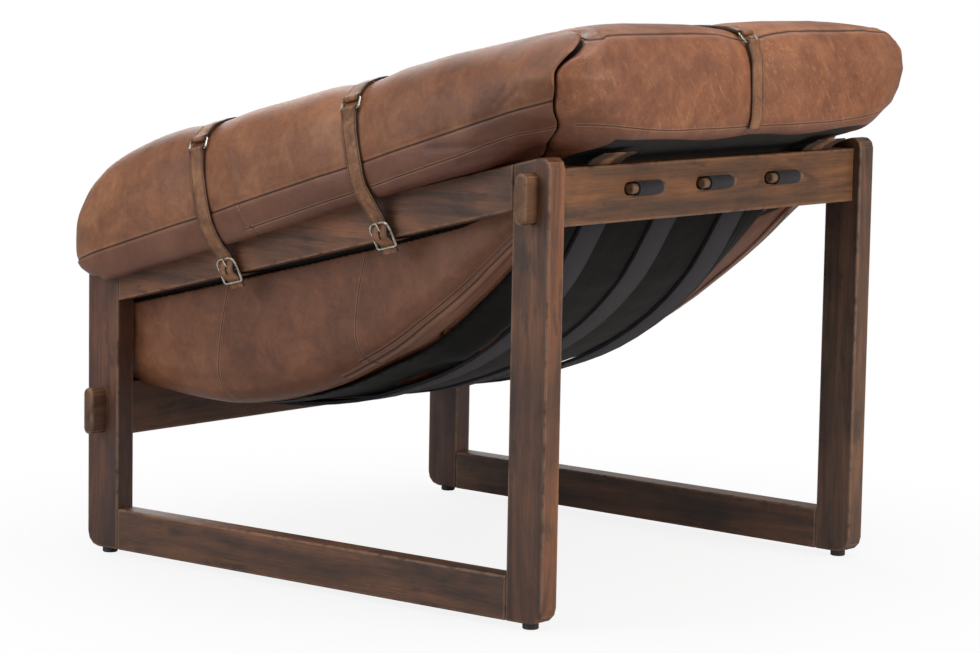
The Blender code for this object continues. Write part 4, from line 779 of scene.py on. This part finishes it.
def dress_cushion(piece, seams, creases=None, shaped=None, sunk=None, seed=1, node=None):
    """Sew a filled cushion: sink its seams, pucker the leather beside them, and wrinkle the rest."""
    mesh = piece.data
    points = read_points(mesh)
    deep, fine = seams(points)
    mitre = mitre_distance(points)
    near = strap_distance(points) if creases else np.abs(points[:, 0])
    pucker = ripple(points, (55, 75, 55), seed) * bell(np.minimum(np.abs(deep), mitre), 0.011)
    cinch = ripple(points, (38, 60, 38), seed + 1) * bell(near - 0.017, 0.016)
    slack = ripple(points, (9, 11, 9), seed + 2)
    small = ripple(points, (26, 30, 26), seed + 3)
    height = 0.0006 * pucker + 0.0008 * cinch * (near < 0.06) + 0.0016 * slack + 0.00045 * small
    height -= 0.0019 * bell(deep, 0.0045) + 0.0007 * bell(fine, 0.0040) + 0.0010 * bell(mitre, 0.0035)
    # Painted shade: fold darkens a line beside each strap's edge where it presses into the cover, and the
    # creases that follow.
    fold = bell(near - 0.0132, 0.0016) * 0.5 * (near < 0.03)
    if creases:
        folds = creases(points)
        height -= folds
        fold += folds * 120
    # Black below: the back roll's underside shows its lining, and the arms' slot under the rail gets
    # painted shade.
    lining_and_gap_shade = sunk(points) if sunk else np.full(len(points), -1.0)
    height -= smooth_step(lining_and_gap_shade, -0.0010, 0.0025) * (0.008 if creases else 0.0035)
    normals = read_normals(mesh)
    moved = points + normals * height[:, None]
    if shaped:
        moved = shaped(moved)
    write_points(mesh, moved)
    write_values(mesh, "seam_gap", deep, -1.0)
    write_values(mesh, "seam_near", np.abs(deep))
    write_values(mesh, "fine_gap", fine, -1.0)
    write_values(mesh, "fine_near", np.abs(fine))
    write_values(mesh, "mitre_gap", rim_distance(points, mitre, node) if node else mitre)
    write_values(mesh, "fold", fold)
    write_values(mesh, "lining_and_gap_shade", lining_and_gap_shade, -1.0)
    write_values(mesh, "rub", 0.25 * smooth_step(slack, 0.0, 0.6))
    return points, normals


def close_mitre(piece, node):
    """Give a softened cushion back its full edge along the mitre, so that the two covers meet."""
    mesh = nodes[node].data
    mesh.calc_loop_triangles()
    solid = BVHTree.FromPolygons([vertex.co for vertex in mesh.vertices],
                                 [triangle.vertices for triangle in mesh.loop_triangles])
    points = read_points(piece.data)
    gaps = mitre_distance(points)
    for index in np.nonzero(gaps < 0.014)[0]:
        place = Vector(points[index])
        found, _, _, _ = solid.find_nearest(place)
        share = 1 - smooth_step(gaps[index], 0.007, 0.014)
        points[index] = place.lerp(found, float(share))
    signed = points[:, 1] + SHIFT - np.abs(points[:, 0]) - MITRE_OFFSET
    flat = np.abs(signed) < 0.0042
    push = np.where(flat, signed / 2 * 0.85, 0)
    points[:, 1] -= push
    points[:, 0] += np.sign(points[:, 0]) * push
    write_points(piece.data, points)


def finish_cushion(piece, node, leather):
    piece.data.materials.clear()
    piece.data.materials.append(leather)
    piece.data.shade_smooth()
    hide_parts(node)
    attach(piece, BODY)
    return piece


def build_arm(side_name, leather, quick):
    node = "arm_cushion_" + side_name
    piece = even_copy("arm_roll_" + side_name, node, QUICK_COVER_GRAIN if quick else COVER_GRAIN)
    if not quick:
        fill_cushion(piece, hold_arm(read_points(piece.data)), ROLL_FILL_CAP)
    close_mitre(piece, node)
    finer(piece)
    points, normals = dress_cushion(piece, arm_seams, crease_arm, draw_arm, wall_slot,
                                    1 if side_name == "left" else 5, node)
    outward, square, _, depth = rail_frame(points)
    # Painted shade, through the under attribute: the lower band below the long seam, faces that turn down,
    # and the wall under the rail.
    band = (square < 0.034 + 0.065 * depth) & (square > -0.03) & (outward > -0.006)
    turned = smooth_step(-normals[:, 2], -0.1, 0.7) * 0.5
    wall = (square < -0.03) & (outward < -0.015)
    write_values(piece.data, "under", band * 0.78 + turned * 0.4 + wall * 0.30)
    return finish_cushion(piece, node, leather)


def build_back(leather, quick):
    piece = even_copy("back_roll", "back_cushion", QUICK_COVER_GRAIN if quick else COVER_GRAIN)
    if not quick:
        fill_cushion(piece, hold_back(read_points(piece.data)), ROLL_FILL_CAP)
    close_mitre(piece, "back_cushion")
    finer(piece)
    points, normals = dress_cushion(piece, back_seams, None, draw_inside, bare_underside, 9,
                                    "back_cushion")
    # Painted shade, through the under attribute: the lower band below the low seam and faces that turn
    # down.
    under = (points[:, 2] < low_seam_height(points[:, 0])) & (points[:, 1] > 0.30)
    turned = smooth_step(-normals[:, 2], 0.0, 0.8) * 0.5
    write_values(piece.data, "under", under * 0.35 + turned * 0.4)
    return finish_cushion(piece, "back_cushion", leather)


def build_seat(leather, quick):
    piece = even_copy("seat_pad", "seat_cushion", QUICK_PAD_GRAIN if quick else PAD_GRAIN)
    if not quick:
        fill_cushion(piece, hold_seat(read_points(piece.data)), PAD_FILL_CAP)
    finer(piece)
    _, normals = dress_cushion(piece, seat_seams, shaped=draw_inside, seed=13)
    # Painted shade on the pad's faces that turn down.
    write_values(piece.data, "under", smooth_step(-normals[:, 2], 0.0, 0.8) * 0.5)
    return finish_cushion(piece, "seat_cushion", leather)


# Straps and webbing

def band_copy(name, node, across, ease_width, material):
    """Piece from a flat band's CAD solid, with its cut edges eased and its width stored.

    Returns the outline of its far side and the middle of its width.
    """
    bm = bmesh.new()
    bm.from_mesh(nodes[node].data)
    bmesh.ops.remove_doubles(bm, verts=bm.verts, dist=1e-5)
    bmesh.ops.dissolve_limit(bm, angle_limit=math.radians(1.0), verts=bm.verts, edges=bm.edges)
    rims = [edge for edge in bm.edges if len(edge.link_faces) == 2
            and (abs(edge.link_faces[0].normal.dot(across)) > 0.99)
            != (abs(edge.link_faces[1].normal.dot(across)) > 0.99)]
    loops = rim_loops(rims, across)
    bmesh.ops.bevel(bm, geom=rims, offset=ease_width, segments=2, profile=0.6, affect="EDGES")
    mesh = built_mesh(name, bm)
    points = read_points(mesh)
    span = points @ np.array(across)
    middle = (span.min() + span.max()) / 2
    layer = mesh.attributes.new("across", "FLOAT", "POINT")
    layer.data.foreach_set("value", (span - middle).astype(np.float32))
    mesh.shade_smooth()
    mesh.set_sharp_from_angle(angle=math.radians(38))
    piece = add_piece(name, mesh, material)
    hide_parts(node)
    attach(piece, BODY)
    return loops, middle


def rim_loops(rims, across):
    """Outer outline of a band's far side, as a closed list of points."""
    top = max(edge.verts[0].co.dot(across) for edge in rims)
    links = {}
    for edge in rims:
        first, second = edge.verts
        if min(first.co.dot(across), second.co.dot(across)) > top - 1e-4:
            links.setdefault(first.index, []).append((second.index, second.co.copy()))
            links.setdefault(second.index, []).append((first.index, first.co.copy()))
    loops = []
    seen = set()
    for start in links:
        if start in seen:
            continue
        loop = []
        current = start
        while current is not None and current not in seen:
            seen.add(current)
            following = None
            for index, place in links[current]:
                if index not in seen:
                    following = index
                    loop.append(place)
                    break
            current = following
        loops.append(loop)
    return max(loops, key=len)


def outer_run(loop, across, core):
    """Longest stretch of a band's outline that faces away from a line through core."""
    count = len(loop)
    centre = sum(loop, Vector()) / count
    area = sum(((loop[k] - centre).cross(loop[(k + 1) % count] - centre)).dot(across) for k in range(count))
    sign = 1 if area > 0 else -1
    facing = []
    for k in range(count):
        edge = loop[(k + 1) % count] - loop[k]
        out = edge.cross(across) * sign
        middle = (loop[k] + loop[(k + 1) % count]) / 2
        away = middle - core
        away -= across * away.dot(across)
        facing.append(out.length > 1e-7 and out.normalized().dot(away.normalized()) > 0.25)
    best = []
    for start in range(count):
        if facing[start] and not facing[start - 1]:
            run = [loop[start]]
            k = start
            while facing[k % count] and k - start < count:
                run.append(loop[(k + 1) % count])
                k += 1
            length = sum((b - a).length for a, b in zip(run, run[1:]))
            best.append((length, run))
    return max(best, key=lambda pair: pair[0])[1] if best else []


def spaced(path, pitch):
    """Points and directions at even steps along a path."""
    found = []
    travelled = pitch / 2
    for first, second in zip(path, path[1:]):
        run = second - first
        while travelled < run.length:
            found.append((first + run * (travelled / run.length), run.normalized()))
            travelled += pitch
        travelled -= run.length
    return found


def stitch_mesh(name, rows, length, radius):
    """Mesh of sewn stitches. Each row is a list of (point, direction along, direction out)."""
    bm = bmesh.new()
    shape = ((-0.5, 0.25, -0.4), (-0.36, 0.9, 0.1), (0.0, 1.0, 0.45), (0.36, 0.9, 0.1), (0.5, 0.25, -0.4))
    for point, along, out in rows:
        side = along.cross(out).normalized()
        rings = []
        for travel, girth, lift in shape:
            centre = point + along * (length * travel) + out * (radius * lift)
            rings.append([bm.verts.new(centre + (side * math.cos(turn) + out * math.sin(turn))
                                       * radius * girth)
                          for turn in (k * math.tau / 5 for k in range(5))])
        for ring, following in zip(rings, rings[1:]):
            for k in range(5):
                bm.faces.new((ring[k], ring[(k + 1) % 5], following[(k + 1) % 5], following[k]))
        bm.faces.new(rings[0][::-1])
        bm.faces.new(rings[-1])
    bmesh.ops.recalc_face_normals(bm, faces=bm.faces)
    mesh = built_mesh(name, bm)
    mesh.shade_smooth()
    return mesh


def sew(name, rows, length, radius, material):
    piece = add_piece(name, stitch_mesh(name, rows, length, radius), material)
    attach(piece, BODY)
    return piece


def band_rows(run, across, middle, inset, pitch):
    """Stitch places along both edges of a band."""
    rows = []
    reach = run[0].dot(across) - middle - inset
    for point, along in spaced(run, pitch):
        out = along.cross(across).normalized()
        base = point - across * (point.dot(across) - middle)
        rows += [(base + across * reach, along, out), (base - across * reach, along, out)]
    return rows


def build_straps(strap, thread):
    inset, pitch, length, thickness = STRAP_STITCH
    rows = []
    for side_name, side in (("left", 1), ("right", -1)):
        along_frame = Vector((-side * math.sin(TOE), math.cos(TOE), 0))
        across = Vector((along_frame.x * math.cos(SLOPE), along_frame.y * math.cos(SLOPE), math.sin(SLOPE)))
        for row_name, place in zip(("front", "rear"), STRAP_PLACES):
            tag = f"{row_name}_{side_name}"
            core = Vector((side * 0.325, place - SHIFT - 0.017,
                           POST_TOP - math.tan(SLOPE) * (HALF_DEPTH - place) + 0.068))
            for kind, solid in (("upper_strap_leather_", "upper_strap_arm_"),
                                ("lower_strap_leather_", "lower_strap_arm_"),
                                ("tail_leather_", "tail_strap_")):
                loop, middle = band_copy(kind + tag, solid + tag, across, 0.0005, strap)
                rows += band_rows(outer_run(loop, across, core), across, middle, inset, pitch)
    across = Vector((1, 0, 0))
    for kind in ("upper_strap_back", "lower_strap_back"):
        name = kind.replace("back", "leather_back")
        loop, middle = band_copy(name, kind, across, 0.0005, strap)
        rows += band_rows(outer_run(loop, across, Vector((0, 0.375, 0.665))), across, middle, inset, pitch)
    for side_name in ("left", "right"):
        band_copy("corner_web_" + side_name, "corner_tab_" + side_name, Vector((1, 0, 0)), 0.0005,
                  strap)
    sew("strap_stitches", rows, length, thickness, thread)


def build_webbing(webbing, thread):
    inset, pitch, length, thickness = WEBBING_STITCH
    rows = []
    for number in (1, 2, 3):
        across = Vector((1, 0, 0))
        loop, middle = band_copy(f"webbing_band_{number}", f"webbing_strap_{number}", across,
                                 0.0006, webbing)
        rows += band_rows(outer_run(loop, across, Vector((middle, 0, 0.62))), across, middle, inset, pitch)
    sew("webbing_stitches", rows, length, thickness, thread)


def build_lining(lining):
    """Lining cloth, hanging a little lower between the webbing straps, with one seam across it."""
    bm = bmesh.new()
    bm.from_mesh(nodes["seat_lining"].data)
    bmesh.ops.remove_doubles(bm, verts=bm.verts, dist=1e-5)
    for side in (1, -1):
        cut = bmesh.ops.bisect_plane(bm, geom=[*bm.verts, *bm.edges, *bm.faces],
                                     plane_co=(side * LINING_EDGE, 0, 0), plane_no=(side, 0, 0),
                                     clear_outer=True)
        rim = [item for item in cut["geom_cut"] if isinstance(item, bmesh.types.BMEdge)]
        bmesh.ops.holes_fill(bm, edges=rim)
    bmesh.ops.dissolve_limit(bm, angle_limit=math.radians(0.2), verts=bm.verts, edges=bm.edges)
    bmesh.ops.triangulate(bm, faces=bm.faces)
    for _ in range(3):
        long_edges = [edge for edge in bm.edges if edge.calc_length() > 0.012]
        bmesh.ops.subdivide_edges(bm, edges=long_edges, cuts=1)
        bmesh.ops.triangulate(bm, faces=[face for face in bm.faces if len(face.verts) > 3])
    mesh = built_mesh("lining_cloth", bm)
    points = read_points(mesh)
    depth = depth_of(points)
    between = 1 - smooth_step(np.abs(np.abs(points[:, 0]) - 0.077), 0.030, 0.050)
    open_span = 1 - smooth_step(np.abs(depth), 0.27, 0.33)
    sag = 0.0028 * open_span + 0.0020 * bell(depth - 0.245, 0.0030)
    wave = 0.0008 * (ripple(points, (14, 22, 0), 21) + 1) * open_span
    ceiling = along_wall(depth, WALL_BOTTOM) + 0.12
    points[:, 2] += drawn_up(points, ceiling) - (sag + wave) * between
    write_points(mesh, points)
    mesh.shade_smooth()
    mesh.set_sharp_from_angle(angle=math.radians(50))
    piece = add_piece("lining_cloth", mesh, lining)
    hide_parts("seat_lining")
    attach(piece, BODY)
    return piece


def build_piping(leather):
    """Piping along the underside of each arm."""
    for side_name, side in (("left", 1), ("right", -1)):
        path = []
        for depth in np.linspace(-0.30, 0.325, 60):
            high = along_wall(depth, WALL_BOTTOM) + along_wall(depth, WALL_LIFT)
            path.append(Vector((side * PIPING_PLACE, depth - SHIFT, high)))
        cord = add_piece("underside_piping_" + side_name, tube_mesh("underside_piping", path, 0.0026, 10))
        # The 0.55 is painted shade on the cord, which lies on the underside.
        blank_leather(cord.data, leather, 0.55)
        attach(cord, BODY)


def blank_leather(mesh, leather, under):
    """Leather with no seams of its own, darkened by the under amount as painted shade."""
    mesh.materials.clear()
    mesh.materials.append(leather)
    for name in ("seam_gap", "seam_near", "fine_gap", "fine_near", "mitre_gap"):
        write_values(mesh, name, 1.0)
    write_values(mesh, "lining_and_gap_shade", -1.0, -1.0)
    write_values(mesh, "under", under)


def tube_mesh(name, path, radius, sides):
    """Closed tube along a path."""
    bm = bmesh.new()
    rings = []
    for index, point in enumerate(path):
        along = (path[min(index + 1, len(path) - 1)] - path[max(index - 1, 0)]).normalized()
        across = along.cross(Vector((1, 0, 0))).normalized()
        other = along.cross(across)
        rings.append([bm.verts.new(point + (across * math.cos(turn) + other * math.sin(turn)) * radius)
                      for turn in (k * math.tau / sides for k in range(sides))])
    for ring, following in zip(rings, rings[1:]):
        for k in range(sides):
            bm.faces.new((ring[k], ring[(k + 1) % sides], following[(k + 1) % sides], following[k]))
    bm.faces.new(rings[0][::-1])
    bm.faces.new(rings[-1])
    bmesh.ops.recalc_face_normals(bm, faces=bm.faces)
    mesh = built_mesh(name, bm)
    mesh.shade_smooth()
    return mesh


def look_from(place, right, up):
    """Matrix of a camera or lamp at a place, from its right and up directions."""
    right, up = Vector(right), Vector(up)
    back = right.cross(up)
    return Matrix((
        (right.x, up.x, back.x, place[0]), (right.y, up.y, back.y, place[1]),
        (right.z, up.z, back.z, place[2]), (0, 0, 0, 1)))


def build_studio():
    scene = bpy.context.scene
    lens = bpy.data.cameras.new("photo_camera")
    lens.lens = CAMERA_LENS
    lens.sensor_width = 36.0
    lens.sensor_fit = "HORIZONTAL"
    lens.clip_end = 50.0
    camera = bpy.data.objects.new("photo_camera", lens)
    scene.collection.objects.link(camera)
    camera.matrix_world = look_from(CAMERA_PLACE, CAMERA_RIGHT, CAMERA_UP)
    scene.camera = camera
    lamps = (
        ("top_softbox", (0.3, 0.6, 2.9), (0.0, 0.0, 0.45), 2.6, 2.6, 66.0, (1.0, 1.0, 1.0)),
        ("side_softbox", (2.9, -0.9, 1.7), (0.2, -0.1, 0.5), 1.6, 2.0, 44.0, (0.97, 0.99, 1.0)),
        ("rear_softbox", (-0.7, 3.2, 1.5), (0.0, 0.2, 0.5), 1.4, 1.8, 62.0, (1.0, 0.91, 0.80)),
        ("front_softbox", (-1.8, -2.6, 1.9), (0.0, 0.0, 0.4), 2.0, 2.0, 40.0, (1.0, 1.0, 1.0)),
    )
    for name, place, aim, width, height, power, color in lamps:
        light = bpy.data.lights.new(name, "AREA")
        light.shape = "RECTANGLE"
        light.size = width
        light.size_y = height
        light.energy = power
        light.color = color
        lamp = bpy.data.objects.new(name, light)
        scene.collection.objects.link(lamp)
        lamp.location = place
        lamp.rotation_euler = (Vector(aim) - Vector(place)).to_track_quat("-Z", "Y").to_euler()

    world = bpy.data.worlds.new("studio")
    world.use_nodes = True
    scene.world = world
    tree = world.node_tree
    path = tree.nodes.new("ShaderNodeLightPath")
    seen = tree.nodes.new("ShaderNodeMath")
    seen.operation = "MAXIMUM"
    tree.links.new(path.outputs["Is Camera Ray"], seen.inputs[0])
    tree.links.new(path.outputs["Is Transmission Ray"], seen.inputs[1])
    level = tree.nodes.new("ShaderNodeMapRange")
    level.inputs["To Min"].default_value = AROUND_LEVEL
    level.inputs["To Max"].default_value = 1.0
    tree.links.new(seen.outputs[0], level.inputs["Value"])
    backdrop = tree.nodes["Background"]
    backdrop.inputs["Color"].default_value = (1.0, 1.0, 1.0, 1.0)
    tree.links.new(level.outputs["Result"], backdrop.inputs["Strength"])

    bm = bmesh.new()
    bmesh.ops.create_grid(bm, x_segments=1, y_segments=1, size=12.0)
    mesh = built_mesh("studio_floor", bm)
    pale = Finish("pale_floor", Roughness=0.9)
    paper = pale.noise(pale.place, 40, 3)
    pale.wear(Base_Color=pale.mix(paper, (0.52, 0.52, 0.52), (0.55, 0.55, 0.55)))
    glow = pale.node("ShaderNodeEmission", {"Color": (1.0, 1.0, 1.0, 1.0), "Strength": 1.0})
    away = pale.node("ShaderNodeVectorMath", [pale.place], output=1, operation="LENGTH")
    seen = pale.node("ShaderNodeLightPath", output="Is Camera Ray")
    bright = seen * (FLOOR_NEAR + away.step(0.35, 1.10) * (1 - FLOOR_NEAR))
    mixed = pale.node("ShaderNodeMixShader", {0: bright, 2: glow})
    pale.tree.links.new(pale.shader.outputs[0], mixed.output.node.inputs[1])
    pale.tree.links.new(mixed.output, pale.tree.nodes["Material Output"].inputs["Surface"])
    floor = add_piece("studio_floor", mesh, pale.material)
    floor.location.z = -0.0005
    scene.view_settings.view_transform = "Standard"


def paint_nodes():
    """Finishes of the CAD nodes that keep their own solids."""
    upright = (0, math.pi / 2, 0)
    level = (0, 0, math.pi / 2)
    # Painted light and shade: the tints and rear amounts below differ by part to stand in for the light and
    # shade each part gets, so these are lit and shaded copies of one walnut.
    front_post = wood_finish("walnut_front_posts", upright, 0.10, 0.0, (0.82, 0.72, 0.78))
    near_post = wood_finish("walnut_rear_post_left", upright, 0.25, 0.75)
    far_post = wood_finish("walnut_rear_post_right", upright, 0.15, 0.25, (0.85, 0.98, 1.15))
    rail = wood_finish("walnut_rails", level, 0.15)
    sloped = wood_finish("walnut_sloped_rails", (0, SLOPE, math.pi / 2), 0.10, 0.0, (1.42, 1.30, 1.16))
    front_cross = wood_finish("walnut_front_cross_rail", (0, 0, 0), 0.15, 0.10)
    rear_cross = wood_finish("walnut_rear_cross_rail", (0, 0, 0), 0.0, 0.0, (1.40, 1.21, 0.74))
    metal, peg, glide = metal_finish(), peg_finish(), glide_finish()
    finishes = (("front_post", front_post), ("rear_post_left", near_post),
                ("rear_post_right", far_post), ("bottom_rail", rail),
                ("top_rail", sloped), ("front_cross_rail", front_cross),
                ("rear_cross_rail", rear_cross), ("toggle_peg", peg),
                ("glide_", glide), ("strap_ring", metal), ("buckle_", metal), ("prong_", metal),
                ("tab_screw", metal))
    for name, item in nodes.items():
        for start, material in finishes:
            if name.startswith(start):
                item.data.materials.clear()
                item.data.materials.append(material)


def main():
    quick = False
    build_studio()
    paint_nodes()
    leather = leather_finish("brown_leather_finish", (1.05, 1.02, 0.90))
    build_arm("left", leather, quick)
    build_arm("right", leather, quick)
    # The back roll gets its own copy of the leather, with fewer scratches; its warmer tint is painted
    # light, for the warmer light that falls on the back.
    build_back(leather_finish("back_leather_finish", (1.08, 0.99, 0.85), 0.75), quick)
    build_seat(leather, quick)
    build_piping(leather)
    build_straps(strap_finish(), thread_finish("strap_thread", (0.050, 0.022, 0.014)))
    build_webbing(webbing_finish(), thread_finish("webbing_thread", (0.014, 0.012, 0.018)))
    build_lining(lining_finish())


main()
